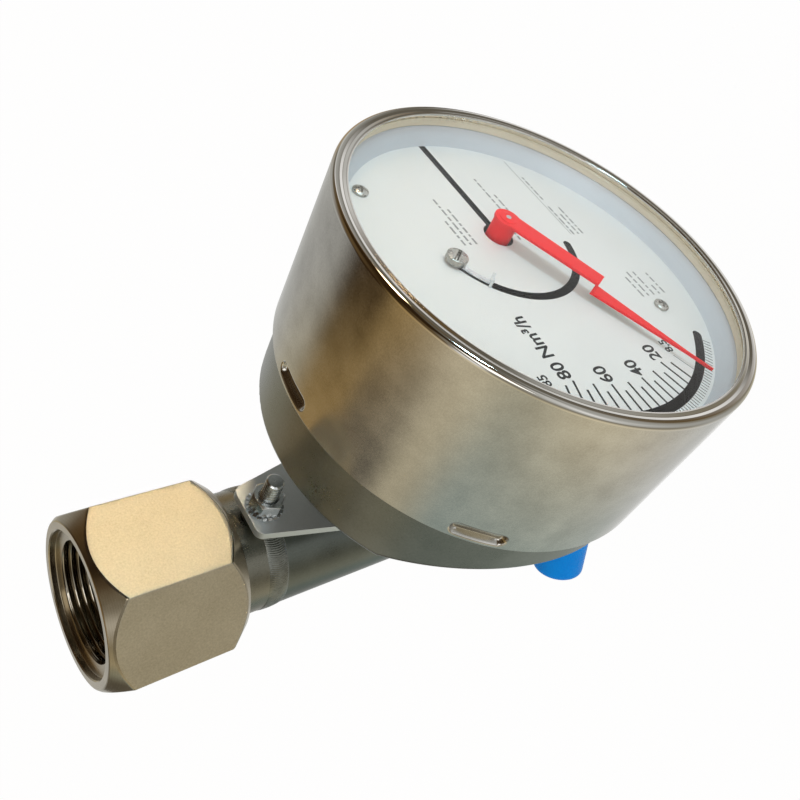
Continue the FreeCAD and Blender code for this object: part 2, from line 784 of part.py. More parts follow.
def cut_arc_slot(body, name, x="0", y="0"):
    # A round-ended slot along an arc about (x, y)
    radius = name + "_radius"
    half = name + "_half"
    start = name + "_start"
    sweep = name + "_sweep"
    section = box(f"{radius} - {half}", f"{radius} + {half}", "dial_front - dial_gauge", "dial_front")
    spin(body, "Groove", [section], sweep, lift=f"-({y})", shift=x, turn=DRIVING[start])
    ends = [slot_end(radius, angle, x, y) for angle in (start, f"({start} + {sweep})")]
    pocket(body, [circle(half, *spot) for spot in ends], "dial_front - dial_gauge", "dial_front")


def make_dial_plate():
    body = new_body("dial_plate", on_dial)
    back = "dial_front - dial_gauge"
    pad(body, [circle("dial_radius")], back, "dial_front")
    cut_arc_slot(body, "outer_slot")
    cut_arc_slot(body, "inner_slot", "pivot_x", "pivot_y")
    holes = [circle("dial_screw_hole", x, y) for x, y in DIAL_SCREW_SPOTS]
    pocket(body, [circle("hub_hole", "pivot_x", "pivot_y")] + holes, back, "dial_front")
    slit = box("pivot_x", "2 * dial_radius", "pivot_y - radial_slot_half", "pivot_y + radial_slot_half")
    pocket(body, [slit], back, "dial_front")
    keep(body, "dial_plate")


DIAL_SCREW_SPOTS = [("upper_screw_x", "upper_screw_y"), ("lower_screw_x", "lower_screw_y")]


def make_stop():
    # Adjustable stop: a strip along the inner slot with an upturned tab, clamped by a screw and nut
    tab_angle = DRIVING["inner_slot_start"] + DRIVING["stop_sweep"]
    body = new_body("stop_strip", on_pivot, tab_angle)
    low, high = "dial_front", "dial_front + stop_gauge"
    radius = "inner_slot_radius"
    strip = box(f"{radius} - stop_half", f"{radius} + stop_half", low, high)
    run = spin(body, "Revolution", [strip], "stop_sweep")
    run.Reversed = True
    tab = box(f"{radius} - stop_tab_half", f"{radius} + stop_tab_half", low, f"{high} + stop_tab_rise")
    upright = feature(body, "Pad", new_sketch(body, "XZ_Plane", [tab]), Length="stop_gauge")
    upright.Reversed = True
    eye = slot_end(radius, "(-stop_sweep)")
    pad(body, [circle("stop_eye", *eye)], low, high)
    pocket(body, [circle("stop_hole", *eye)], low, high)
    keep(body, "stop_strip")
    spot = slot_end(radius, "inner_slot_start", "pivot_x", "pivot_y")
    screw = screw_profile("stop_screw_radius", "stop_screw_head", "stop_screw_low", high,
                          f"{high} + stop_screw_rise")
    turned("stop_screw", screw, on_dial, *spot)
    nut = new_body("stop_nut", on_dial, *spot)
    back = "dial_front - dial_gauge"
    pad(nut, [hexagon("stop_nut_flats"), circle("stop_screw_radius")], f"{back} - stop_nut_height", back)
    keep(nut, "stop_nut")


def make_dial():
    make_dial_plate()
    top = "dial_front + dial_ring_height"
    ring = [("ring_low_radius", "dial_front"), ("ring_low_radius + ring_wall", "dial_front"),
            ("ring_high_radius + ring_wall", top), ("ring_high_radius", top)]
    turned("dial_ring", ring, on_dial)
    back = "dial_front - dial_gauge"
    for end, (x, y) in zip(("upper", "lower"), DIAL_SCREW_SPOTS):
        post = blind_profile("dial_pillar_radius", "dial_pillar_bore", "frame_front", back,
                             f"{back} - dial_pillar_bore_depth")
        turned(f"{end}_dial_pillar", post, on_dial, x, y)
        screw = screw_profile("dial_screw_radius", "dial_screw_head", f"{back} - dial_screw_depth", "dial_front",
                              "dial_front + dial_screw_rise")
        turned(f"{end}_dial_screw", screw, on_dial, x, y)
    make_stop()


# The pointer and its movement
def make_pointer():
    # One strip with a step in it: a raised arm over the hub, then a lower needle with a knife-edge tip
    body = new_body("pointer", on_pointer)
    arm_back = "arm_front - arm_gauge"
    needle_back = "needle_front - arm_gauge"
    step_start = "step_reach - arm_gauge"
    pad(body, [circle("hub_radius")], "hub_low", "arm_front")
    pad(body, [circle("arm_end_radius")], arm_back, "arm_front")
    arm = polygon(("0", "-arm_half"), ("step_reach", "-step_half"), ("step_reach", "step_half"), ("0", "arm_half"))
    pad(body, [arm], arm_back, "arm_front")
    pad(body, [box(step_start, "step_reach", "-needle_half", "needle_half")], needle_back, "arm_front")
    needle = polygon((step_start, "-needle_half"), ("needle_reach", "-needle_end_half"),
                     ("needle_reach", "needle_end_half"), (step_start, "needle_half"))
    pad(body, [needle], needle_back, "needle_front")
    blade = box("needle_reach - tip_depth", "tip_reach", "-tip_half", "tip_half")
    pad(body, [blade], f"{needle_back} - tip_depth", "needle_front + tip_depth")
    pocket(body, [circle("shaft_radius")], "hub_low", "hub_bore_end")
    keep(body, "pointer")


def make_moving_system():
    # Everything that turns with the pointer
    make_pointer()
    turned("pointer_shaft", [("0", "shaft_low"), ("shaft_radius", "shaft_low"), ("shaft_radius", "hub_bore_end"),
                             ("0", "hub_bore_end")], on_pointer)
    magnet = tube_profile("shaft_radius", "follower_radius", "follower_low", "follower_high")
    turned("follower_magnet", magnet, on_pointer)
    middle = "brake_low + brake_gauge / 2"
    disc = [("shaft_radius", f"{middle} - brake_hub_half"), ("brake_hub_radius", f"{middle} - brake_hub_half"),
            ("brake_hub_radius", "brake_low"), ("brake_radius", "brake_low"),
            ("brake_radius", "brake_low + brake_gauge"), ("brake_hub_radius", "brake_low + brake_gauge"),
            ("brake_hub_radius", f"{middle} + brake_hub_half"), ("shaft_radius", f"{middle} + brake_hub_half")]
    turned("brake_disc", disc, on_pointer)
    body = new_body("balance_weight", on_pointer)
    high = "weight_low + weight_gauge"
    pad(body, [circle("brake_hub_radius")], "weight_low", high)
    pad(body, [circle("weight_radius", "-weight_reach")], "weight_low", high)
    pad(body, [box("-weight_reach", "0", "-weight_arm_half", "weight_arm_half")], "weight_low", high)
    pocket(body, [circle("shaft_radius")], "weight_low", high)
    keep(body, "balance_weight")


def make_bush(label, low, plate_gauge):
    high = f"{low} + {plate_gauge}"
    profile = [("bush_bore", low), ("bush_radius", low), ("bush_radius", high), ("bush_flange", high),
               ("bush_flange", f"{high} + bush_rise"), ("bush_bore", f"{high} + bush_rise")]
    turned(label, profile, on_pivot)


def make_bridge():
    # Bent strip that stands over the movement and carries the front bush
    body = new_body("bearing_bridge", on_pivot)
    front = "bridge_back + bridge_gauge"
    outer = "bridge_half_length"
    inner = "bridge_half_length - bridge_gauge"
    foot = "bridge_half_length + bridge_foot"
    foot_top = "frame_front + bridge_gauge"
    strip = polygon((f"-({foot})", "frame_front"), (f"-({inner})", "frame_front"), (f"-({inner})", "bridge_back"),
                    (inner, "bridge_back"), (inner, "frame_front"), (foot, "frame_front"), (foot, foot_top),
                    (outer, foot_top), (outer, front), (f"-{outer}", front), (f"-{outer}", foot_top),
                    (f"-({foot})", foot_top))
    sketch = new_sketch(body, "XZ_Plane", [strip], lift="-bridge_half_width")
    feature(body, "Pad", sketch, Length="2 * bridge_half_width")
    pocket(body, [circle("bush_radius")], "bridge_back", front)
    keep(body, "bearing_bridge")


def make_brake_magnet():
    # C-shaped block on the frame with the brake disc running in its gap
    body = new_body("brake_magnet", on_pivot)
    pad(body, [box("yoke_near", "yoke_far", "-yoke_half", "yoke_half")], "frame_front", "yoke_front")
    middle = "brake_low + brake_gauge / 2"
    throat = box("0", "yoke_far - yoke_back_wall", "-2 * yoke_half", "2 * yoke_half")
    pocket(body, [throat], f"{middle} - yoke_gap_half", f"{middle} + yoke_gap_half")
    keep(body, "brake_magnet")


def make_frame_plate():
    body = new_body("movement_plate", on_dial)
    pad(body, [circle("frame_radius")], "frame_back", "frame_front")
    sides = [box("-2 * frame_radius", "frame_left", "-2 * frame_radius", "2 * frame_radius"),
             box("frame_right", "2 * frame_radius", "-2 * frame_radius", "2 * frame_radius")]
    pocket(body, sides, "frame_back", "frame_front")
    holes = [circle("post_screw_hole", x, y) for x, y in POST_SPOTS]
    pocket(body, [circle("bush_radius", "pivot_x", "pivot_y")] + holes, "frame_back", "frame_front")
    keep(body, "movement_plate")


POST_SPOTS = [("-post_x", "post_y"), ("post_x", "post_y"), ("low_post_x", "low_post_y")]


def make_movement():
    make_frame_plate()
    for number, (x, y) in enumerate(POST_SPOTS, start=1):
        post = tube_profile("post_bore", "post_radius", "pan_back + pan_gauge", "frame_back")
        turned(f"movement_post_{number}", post, on_dial, x, y)
        screw = screw_profile("post_screw_radius", "post_head_radius", "post_screw_low", "frame_front",
                              "frame_front + post_head_rise")
        turned(f"movement_screw_{number}", screw, on_dial, x, y)
    make_bush("rear_bush", "frame_back", "frame_front - frame_back")
    make_bridge()
    make_bush("front_bush", "bridge_back", "bridge_gauge")
    make_brake_magnet()
    make_moving_system()


make_pipe()
make_bracket()
make_pan()
make_cable_entry()
make_cover()
make_window()
make_dial()
make_movement()
doc.recompute()

failed = [item.Name for item in doc.Objects if "Invalid" in item.State or "Error" in item.State]
unsound = [node.Label for node in nodes if node.Shape.isNull() or not node.Shape.isValid()]
if failed or unsound:
    raise RuntimeError(f"failed objects {failed}, unsound shapes {unsound}")

os.makedirs("parts", exist_ok=True)
for node in nodes:
    node.Shape.exportStep(f"parts/{node.Label}.step")
    print(f"{node.Label}: {len(node.Shape.Solids)} solid, {node.Shape.Volume:.1f} mm3")
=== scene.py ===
import math

import bmesh
import bpy
import numpy as np
from mathutils import Matrix, Vector


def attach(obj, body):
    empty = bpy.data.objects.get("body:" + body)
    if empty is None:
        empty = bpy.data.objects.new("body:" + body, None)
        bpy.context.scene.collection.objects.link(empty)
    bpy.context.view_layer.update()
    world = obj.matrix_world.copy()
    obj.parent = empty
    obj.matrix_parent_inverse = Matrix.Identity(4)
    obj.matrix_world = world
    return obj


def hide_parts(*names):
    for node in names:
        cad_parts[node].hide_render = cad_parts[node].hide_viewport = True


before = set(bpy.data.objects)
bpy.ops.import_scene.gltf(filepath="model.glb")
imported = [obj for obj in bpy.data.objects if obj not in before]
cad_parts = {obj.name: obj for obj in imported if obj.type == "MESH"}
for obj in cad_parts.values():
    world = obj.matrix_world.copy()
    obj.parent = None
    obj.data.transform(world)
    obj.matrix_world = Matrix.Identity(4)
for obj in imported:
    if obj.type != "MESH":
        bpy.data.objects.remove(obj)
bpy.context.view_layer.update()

scene = bpy.context.scene
mm = 0.001
turn = 2 * np.pi
mergeGap = 2e-6  # metres; nearer points are one point
dialHeight = 122.5  # the dial's centre above the inlet mouth, mm
print("frame loaded with", len(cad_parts), "nodes")


# Camera, at the photograph's viewing angle
cameraPlan = {
    "place": (-0.11039, -0.24165, 0.30817),
    "right": (-0.51817498, -0.37139147, -0.77043044),
    "up": (0.74103781, -0.64471997, -0.18761428),
    "back": (-0.42703355, -0.66813512, 0.60929288),
    "lens": 36.75,
    "sensor": 36.0,
}
camera = bpy.data.objects.new("camera", bpy.data.cameras.new("camera"))
scene.collection.objects.link(camera)
camera.data.lens = cameraPlan["lens"]
camera.data.sensor_width = cameraPlan["sensor"]
camera.data.clip_start = 0.01
facing = Matrix([cameraPlan[name] for name in ("right", "up", "back")]).transposed()
camera.matrix_world = Matrix.Translation(cameraPlan["place"]) @ facing.to_4x4()
scene.camera = camera
scene.view_settings.view_transform = "Standard"


# Nodes and colours
def linearColour(code):
    # an sRGB hex code as linear red, green and blue with full alpha
    channels = [int(code[i:i + 2], 16) / 255 for i in (1, 3, 5)]
    return tuple(c / 12.92 if c <= 0.04045 else ((c + 0.055) / 1.055) ** 2.4 for c in channels) + (1.0,)


def addNode(tree, kind, inputs=None, **settings):
    # one node; an input takes a fixed value or another node's output
    node = tree.nodes.new("ShaderNode" + kind)
    for name, value in settings.items():
        setattr(node, name, value)
    for name, value in (inputs or {}).items():
        if isinstance(value, bpy.types.NodeSocket):
            tree.links.new(value, node.inputs[name])
        else:
            node.inputs[name].default_value = value
    return node


def emptyTree(owner):
    # the node tree of a material or of the world, with nothing in it
    owner.use_nodes = True
    owner.node_tree.nodes.clear()
    return owner.node_tree


def rayMasks(tree):
    # the rays that the eye follows, straight or through glass, and the same with mirrored rays added
    rays = addNode(tree, "LightPath").outputs
    seen = addNode(tree, "Math", {0: rays["Is Camera Ray"], 1: rays["Is Transmission Ray"]}, operation="MAXIMUM").outputs[0]
    shown = addNode(tree, "Math", {0: seen, 1: rays["Is Glossy Ray"]}, operation="MAXIMUM").outputs[0]
    return seen, shown


# Surroundings: a white studio in which metal sees seven rings of toned cards, from before the object to behind it
studio = {
    "level": 0.79, "matt": "#ffecdc",  # what a matt surface gets
    "tints": {"window": "#ffffff", "plaster": "#e6dabc", "shadedPlaster": "#c6bda2", "pale": "#d6d7d5",
              "cloth": "#b4b4b0", "slate": "#a6b5b1", "stone": "#8f897a", "dusk": "#6c675c", "oak": "#b0935f",
              "walnut": "#6a5638", "door": "#33230f"},
    "rings": {  # how far back a ring lies, and its cards by degrees from +x up towards +z; the first is at -180 and 180
        -0.90: {-180: "pale", -150: "cloth", -90: "cloth", -60: "dusk", -38: "walnut", 20: "door", 100: "door",
                140: "walnut", 165: "pale"},
        -0.55: {-180: "window", -160: "pale", -124: "cloth", -98: "stone", -80: "walnut", -68: "dusk", -47: "dusk",
                -39: "cloth", -27: "cloth", -18: "window", -9: "walnut", 20: "door", 60: "door", 92: "door", 104: "stone",
                135: "stone", 160: "pale"},
        -0.32: {-180: "pale", -145: "cloth", -118: "cloth", -92: "stone", -78: "window", -50: "window", -45: "dusk",
                -36: "cloth", -24: "pale", -14: "dusk", 25: "walnut", 70: "door", 95: "walnut", 107: "stone",
                125: "stone", 160: "cloth"},
        0.0: {-180: "stone", -150: "stone", -118: "cloth", -86: "shadedPlaster", -72: "pale", -53: "pale", -45: "door",
              -28: "oak", 0: "cloth", 35: "walnut", 75: "door", 104: "walnut", 113: "window", 120: "window",
              129: "stone"},
        0.56: {-180: "plaster", -95: "pale", -86: "window", -74: "window", -66: "cloth", -56: "dusk", -44: "pale",
               -10: "cloth", 20: "cloth", 44: "door", 60: "door", 78: "oak", 119: "plaster", 146: "shadedPlaster"},
        0.74: {-180: "slate", -115: "slate", -90: "pale", -79: "window", -62: "plaster", -44: "window", -20: "pale",
               22: "shadedPlaster", 48: "oak", 64: "oak", 80: "dusk", 98: "dusk", 118: "shadedPlaster", 150: "slate"},
        0.88: {-180: "dusk", -60: "pale", 38: "pale", 120: "dusk"},
    },
}
scene.world = bpy.data.worlds.new("studio")
tree = emptyTree(scene.world)
seen, shown = rayMasks(tree)
heading = addNode(tree, "SeparateXYZ", {0: addNode(tree, "TexCoord").outputs["Generated"]})
angle = addNode(tree, "Math", {0: heading.outputs["Z"], 1: heading.outputs["X"]}, operation="ARCTAN2")
around = addNode(tree, "MapRange", {"Value": angle.outputs[0], "From Min": -math.pi, "From Max": math.pi})
tone, last = linearColour(studio["tints"]["dusk"]), -1.0
for back, ring in studio["rings"].items():
    ramp = addNode(tree, "ValToRGB", {"Fac": around.outputs[0]})
    ramp.color_ramp.interpolation = "EASE"
    spots = ramp.color_ramp.elements
    cards = [(degrees, linearColour(studio["tints"][tint])) for degrees, tint in ring.items()]
    spots[0].color = spots[1].color = cards[0][1]
    for degrees, colour in cards[1:]:
        spots.new((degrees + 180) / 360).color = colour
    share = addNode(tree, "MapRange", {"Value": heading.outputs["Y"], "From Min": last, "From Max": back},
                    interpolation_type="SMOOTHSTEP")
    blend = addNode(tree, "Mix", {0: share.outputs[0], 6: tone, 7: ramp.outputs["Color"]}, data_type="RGBA")
    tone, last = blend.outputs[2], back
lit = addNode(tree, "Mix", {0: shown, 6: linearColour(studio["matt"]), 7: tone}, data_type="RGBA")
plain = addNode(tree, "Mix", {0: seen, 6: lit.outputs[2], 7: linearColour("#ffffff")}, data_type="RGBA")
level = addNode(tree, "MapRange", {"Value": shown, "To Min": studio["level"], "To Max": 1.0})
sky = addNode(tree, "Background", {"Color": plain.outputs[2], "Strength": level.outputs[0]})
addNode(tree, "OutputWorld", {"Surface": sky.outputs[0]})

lamps = {
    "key_lamp": {"place": (-0.75, -0.95, 1.05), "aim": (0.0, -0.08, 0.12), "size": 0.7, "spread": 180, "watts": 2.5,
                 "tint": "#ffffff"},
    "front_lamp": {"place": (0.02, -0.92, 0.14), "aim": (0.0, -0.08, 0.13), "size": 0.12, "spread": 180, "watts": 1.8,
                   "tint": "#c8f0ff"},
    "end_lamp": {"place": (0.33, -0.72, 0.10), "aim": (0.0, -0.03, 0.212), "size": 0.12, "spread": 15, "watts": 0.0205,
                 "tint": "#ffe2b4"},
}
for name, plan in lamps.items():
    lamp = bpy.data.objects.new(name, bpy.data.lights.new(name, "AREA"))
    scene.collection.objects.link(lamp)
    lamp.data.size = plan["size"]
    lamp.data.spread = math.radians(plan["spread"])
    lamp.data.energy = plan["watts"]
    lamp.data.color = linearColour(plan["tint"])[:3]
    aim = Vector(plan["aim"]) - Vector(plan["place"])
    lamp.matrix_world = Matrix.Translation(plan["place"]) @ aim.to_track_quat("-Z", "Y").to_matrix().to_4x4()
print("camera, surroundings and lamps made")


# Finishes
ringScale = 314.0  # a ring pattern of this scale repeats every millimetre
noiseRange = (0.3, 0.7)  # between these lies most of the noise


def makeFinish(name, **plan):
    # grain and broad clouds of noise run the colour between two tones, the roughness between two levels, and a fine bump
    material = bpy.data.materials.new(name)
    tree = emptyTree(material)
    place = addNode(tree, "TexCoord").outputs["Object"]
    if "ringMm" in plan:  # turned rings about the pipe's axis
        rings = addNode(tree, "TexWave", {"Vector": place, "Scale": ringScale / plan["ringMm"], "Distortion": 1.5,
                                          "Detail": 2.0, "Detail Scale": 0.4},
                        wave_type="RINGS", rings_direction="Z")
        grain = rings.outputs["Fac"]
    else:
        sizes = addNode(tree, "Mapping", {"Vector": place, "Scale": list(1 / (mm * np.ones(3) * plan["grainMm"]))})
        noise = addNode(tree, "TexNoise", {"Vector": sizes.outputs[0], "Scale": 1.0, "Detail": 3.0, "Roughness": 0.6})
        grain = noise.outputs["Fac"]
    clouds = addNode(tree, "TexNoise", {"Vector": place, "Scale": 1000.0 / plan["cloudMm"], "Detail": 3.0})
    both = addNode(tree, "Mix", {0: plan.get("cloudShare", 0.5), 2: grain, 3: clouds.outputs["Fac"]}, data_type="FLOAT")
    spread = {"Value": both.outputs[0], "From Min": noiseRange[0], "From Max": noiseRange[1]}
    share = addNode(tree, "MapRange", spread)
    tone = addNode(tree, "Mix", {0: share.outputs[0], 6: linearColour(plan["dark"]), 7: linearColour(plan["light"])},
                   data_type="RGBA")
    rough = addNode(tree, "MapRange", {**spread, "To Min": plan["rough"][0], "To Max": plan["rough"][1]})
    relief = addNode(tree, "Bump", {"Height": grain, "Strength": plan.get("bump", 0.3),
                                    "Distance": plan.get("bumpMm", 0.02) * mm})
    shader = addNode(tree, "BsdfPrincipled", {"Base Color": tone.outputs[2], "Roughness": rough.outputs[0],
                                              "Metallic": plan.get("metal", 1.0), "Normal": relief.outputs[0],
                                              **plan.get("fixed", {})})
    addNode(tree, "OutputMaterial", {"Surface": shader.outputs[0]})
    return material


# Investment-cast stainless, shot blasted: a pale frosted grain that glitters a little
castFlat = makeFinish(
    "blasted_cast_stainless", dark="#b9af98", light="#d6ccb6", rough=(0.46, 0.58), grainMm=0.6, cloudMm=14,
    cloudShare=0.25, bump=0.65, bumpMm=0.08)
# Stainless turned on a lathe: rings of tool marks that pull reflections out along the axis
castTurned = makeFinish(
    "turned_cast_stainless", dark="#a09682", light="#b8ae9b", rough=(0.17, 0.24), ringMm=0.5, cloudMm=9,
    cloudShare=0.93, bump=0.015)
# Tapped stainless: bright where the tap burnished it
castThread = makeFinish(
    "tapped_cast_stainless", dark="#a59e91", light="#cfc8bb", rough=(0.05, 0.11), grainMm=(2.0, 2.0, 0.2), cloudMm=6,
    bump=0.1)
# Drawn stainless pipe, pickled after welding: dull grey with broad cloudy patches
pipeDrawn = makeFinish(
    "pickled_stainless_pipe", dark="#646963", light="#7e837d", rough=(0.26, 0.38), grainMm=(0.5, 0.5, 0.8), cloudMm=16,
    cloudShare=0.6, bump=0.25)
# The pipe ends' necks, turned for the weld: lighter than the pipe
neckTurned = makeFinish(
    "turned_stainless_neck", dark="#7a796f", light="#9a988c", rough=(0.24, 0.34), grainMm=(0.5, 0.5, 0.8), cloudMm=12,
    cloudShare=0.6, bump=0.25)
# Weld metal: a touch brighter than the pipe, with its ripples brushed
weldMetal = makeFinish(
    "brushed_weld_metal", dark="#686a64", light="#9a9c96", rough=(0.22, 0.34), grainMm=(0.4, 0.4, 1.2), cloudMm=5,
    bump=0.35, bumpMm=0.03)
# Stainless sheet, glass-bead blasted: even dull grey
sheetBlasted = makeFinish(
    "bead_blasted_stainless_sheet", dark="#dce2e4", light="#eaeff1", rough=(0.48, 0.6), grainMm=0.45, cloudMm=20)
# Deep-drawn stainless, tumbled: a cloudy silver sheen with a fine speckle
coverSatin = makeFinish(
    "satin_drawn_stainless", dark="#b6b3ad", light="#d8d6d1", rough=(0.12, 0.22), grainMm=(0.45, 0.6, 0.45), cloudMm=9,
    cloudShare=0.6, bump=0.16, bumpMm=0.012)
# The same sheet buffed on the bezel: a clear mirror
bezelPolished = makeFinish(
    "buffed_drawn_stainless", dark="#cfccc6", light="#e0ddd8", rough=(0.04, 0.08), grainMm=25.0, cloudMm=18, bump=0.02,
    bumpMm=0.01)
# Pressed stainless pan, pickled: grey with broad olive and bluish clouds
panPressed = makeFinish(
    "pickled_pressed_stainless", dark="#777972", light="#9a9d9b", rough=(0.24, 0.36), grainMm=0.6, cloudMm=24,
    cloudShare=0.65, bump=0.2, bumpMm=0.015)
# Cold-headed stainless fasteners: bright, with small scuffs
fastenerBright = makeFinish(
    "bright_stainless_fastener", dark="#c6cacb", light="#ebeff0", rough=(0.16, 0.3), grainMm=0.8, cloudMm=3, bump=0.12,
    bumpMm=0.01)
# Plated screws of the dial: duller, dark in their corners
screwPlated = makeFinish(
    "zinc_plated_screw", dark="#8c8982", light="#c2bfb8", rough=(0.24, 0.32), grainMm=0.8, cloudMm=2, bump=0.12,
    bumpMm=0.01)
# Rolled aluminium of the movement: soft white-grey with rolling lines
movementAluminium = makeFinish(
    "rolled_aluminium", dark="#a9abac", light="#c6c8c9", rough=(0.3, 0.42), grainMm=(0.3, 12.0, 12.0), cloudMm=15,
    bump=0.15)
# Turned brass: warm yellow
movementBrass = makeFinish(
    "turned_brass", dark="#a8884c", light="#cdb070", rough=(0.2, 0.32), grainMm=(1.0, 0.2, 1.0), cloudMm=6, bump=0.12)
# Sintered magnet: dark grey, dry
magnetDark = makeFinish(
    "sintered_magnet", dark="#2e2f31", light="#434548", rough=(0.5, 0.65), grainMm=0.4, cloudMm=5, metal=0.0)
# Silicone rubber channel: cream, with a soft sheen
gasketCream = makeFinish(
    "moulded_cream_silicone", dark="#d6cfba", light="#e2dcc9", rough=(0.42, 0.55), grainMm=0.6, cloudMm=12, bump=0.05,
    metal=0.0)
# Nitrile rubber seal: black, satin
sealBlack = makeFinish(
    "moulded_black_nitrile", dark="#161617", light="#222223", rough=(0.42, 0.55), grainMm=0.5, cloudMm=8, bump=0.15,
    metal=0.0)
# Aluminium dial, stoved grey-white enamel: even, with a soft sheen
dialEnamel = makeFinish(
    "stoved_grey_white_enamel", dark="#e1e4e6", light="#e9ecee", rough=(0.3, 0.38), grainMm=0.8, cloudMm=30,
    cloudShare=0.6, bump=0.02, bumpMm=0.01, metal=0.0, fixed={"IOR": 1.5})
# Aluminium ring of the dial, anodised matt: pale blue-grey
ringAnodised = makeFinish(
    "matt_anodised_aluminium", dark="#bfc9d3", light="#cbd4dd", rough=(0.36, 0.44), grainMm=(8.0, 0.3, 8.0), cloudMm=20,
    bump=0.04, bumpMm=0.01, metal=0.15)
# Screen-printed ink: flat black with slightly thin patches; on the dial plate's walls the same black is painted shade
inkBlack = makeFinish(
    "screen_printed_black_ink", dark="#131415", light="#1d1f20", rough=(0.4, 0.5), grainMm=0.3, cloudMm=4, bump=0.05,
    metal=0.0, fixed={"Specular IOR Level": 0.15})
inkGrey = makeFinish(
    "screen_printed_grey_ink", dark="#84888b", light="#989c9e", rough=(0.4, 0.5), grainMm=0.3, cloudMm=2, bump=0.05,
    metal=0.0)
# Aluminium pointer, sprayed signal red: glossy with a faint orange peel
pointerLacquer = makeFinish(
    "sprayed_red_lacquer", dark="#f20a14", light="#fa1019", rough=(0.26, 0.34), grainMm=0.9, cloudMm=12, bump=0.06,
    bumpMm=0.01, metal=0.0, fixed={"IOR": 1.5, "Specular IOR Level": 0.06})
# Bare aluminium on the pointer's underside: dull grey
pointerBare = makeFinish(
    "bare_rolled_aluminium", dark="#8f8a82", light="#a39e95", rough=(0.5, 0.6), grainMm=0.6, cloudMm=9, bump=0.08,
    bumpMm=0.01, metal=0.4)
# Moulded polyethylene cap: waxy blue
capPolyethylene = makeFinish(
    "moulded_blue_polyethylene", dark="#0086f2", light="#0096ff", rough=(0.32, 0.44), grainMm=0.7, cloudMm=7, bump=0.1,
    metal=0.0, fixed={"IOR": 1.5, "Specular IOR Level": 0.1})

# Float glass with a coating against glare: clear, and it reflects as if its index were lower
windowGlass = bpy.data.materials.new("clear_float_glass")
tree = emptyTree(windowGlass)
place = addNode(tree, "TexCoord").outputs["Object"]
film = addNode(tree, "TexNoise", {"Vector": place, "Scale": 25.0, "Detail": 2.0})  # a faint film of handling
clear = addNode(tree, "MapRange", {"Value": film.outputs["Fac"], "From Min": 0.4, "From Max": 0.8,
                                   "To Min": 0.0, "To Max": 0.012})
glass = addNode(tree, "BsdfPrincipled", {"Base Color": linearColour("#fdfefe"), "Roughness": clear.outputs[0],
                                         "Transmission Weight": 1.0, "IOR": 1.25})
rays = addNode(tree, "LightPath")  # light on its way to the dial goes straight through the pane
through = addNode(tree, "BsdfTransparent", {"Color": linearColour("#fafcfc")})
soft = addNode(tree, "MixShader", {0: rays.outputs["Is Diffuse Ray"], 1: glass.outputs[0], 2: through.outputs[0]})
pane = addNode(tree, "MixShader", {0: rays.outputs["Is Shadow Ray"], 1: soft.outputs[0], 2: through.outputs[0]})
addNode(tree, "OutputMaterial", {"Surface": pane.outputs[0]})

slotFinishes = {
    "cast_stainless": castFlat, "pipe_stainless": pipeDrawn, "blasted_stainless": sheetBlasted,
    "satin_stainless": coverSatin, "bright_stainless": fastenerBright, "movement_aluminium": movementAluminium,
    "movement_brass": movementBrass, "magnet_dark": magnetDark, "window_glass": windowGlass,
    "gasket_cream": gasketCream, "seal_black": sealBlack, "dial_silver": dialEnamel,
    "pointer_red": pointerLacquer, "cap_blue": capPolyethylene,
}
for node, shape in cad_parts.items():
    for place in shape.material_slots:
        slotName = place.material.name.split(".")[0]
        place.link = "DATA"
        place.material = slotFinishes[slotName]
for node, finish in (("dial_ring", ringAnodised), ("rear_pan", panPressed)):
    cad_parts[node].material_slots[0].material = finish
print("finishes made for", len(slotFinishes), "slots")


# Places and meshes
def onDial(x, y, depth):
    # dial millimetres to metres: x to the right, y up, depth forward from the pipe's axis
    return mm * np.stack(np.broadcast_arrays(x, -np.asarray(depth), dialHeight + np.asarray(y)), -1)


def onDialAt(middleX, middleY, seat=0.0):
    # the same with its origin moved to a point over the dial
    return lambda x, y, depth: onDial(middleX + x, middleY + y, seat + depth)


def onPipe(x, y, height):
    return mm * np.stack(np.broadcast_arrays(x, y, height), -1)


def roundedOutline(corners, steps=5):
    # an open run of corners (a, b, radius), each turned into an arc that touches both of its sides
    runs = []
    for i, (a, b, radius) in enumerate(corners):
        here = np.array([a, b], float)
        if radius == 0 or i in (0, len(corners) - 1):
            runs.append(here[None])
            continue
        before = np.array(corners[i - 1][:2]) - here
        after = np.array(corners[i + 1][:2]) - here
        before /= np.linalg.norm(before)
        after /= np.linalg.norm(after)
        half = np.arccos(np.clip(before @ after, -1, 1)) / 2
        middle = (before + after) / np.linalg.norm(before + after)
        centre = here + middle * radius / np.sin(half)
        first = here + before * radius / np.tan(half) - centre
        last = here + after * radius / np.tan(half) - centre
        sweep = np.pi - 2 * half
        share = np.linspace(0, 1, steps + 1)[:, None]
        runs.append(centre + (np.sin((1 - share) * sweep) * first + np.sin(share * sweep) * last) / np.sin(sweep))
    return np.vstack(runs)


def turnedSurface(profile, angles, place):
    # each profile point (radius, along) goes round: radius times cosine and sine of the angle, same distance along
    radius = profile[:, :1]
    return place(radius * np.cos(angles), radius * np.sin(angles), profile[:, 1:] + 0 * angles)


def stackedRows(rows, angles, place):
    # rows of a radius and a distance along, each one number or one value per angle, go round the axis
    radius, along = np.array([[value + 0 * angles for value in row] for row in rows]).swapaxes(0, 1)
    return place(radius * np.cos(angles), radius * np.sin(angles), along)


def roundAngles(count):
    return np.arange(count) * turn / count


def quadsOf(index):
    # the four-sided faces between neighbours in a grid of point numbers
    return np.stack([index[:-1, :-1], index[:-1, 1:], index[1:, 1:], index[1:, :-1]], -1).reshape(-1, 4)


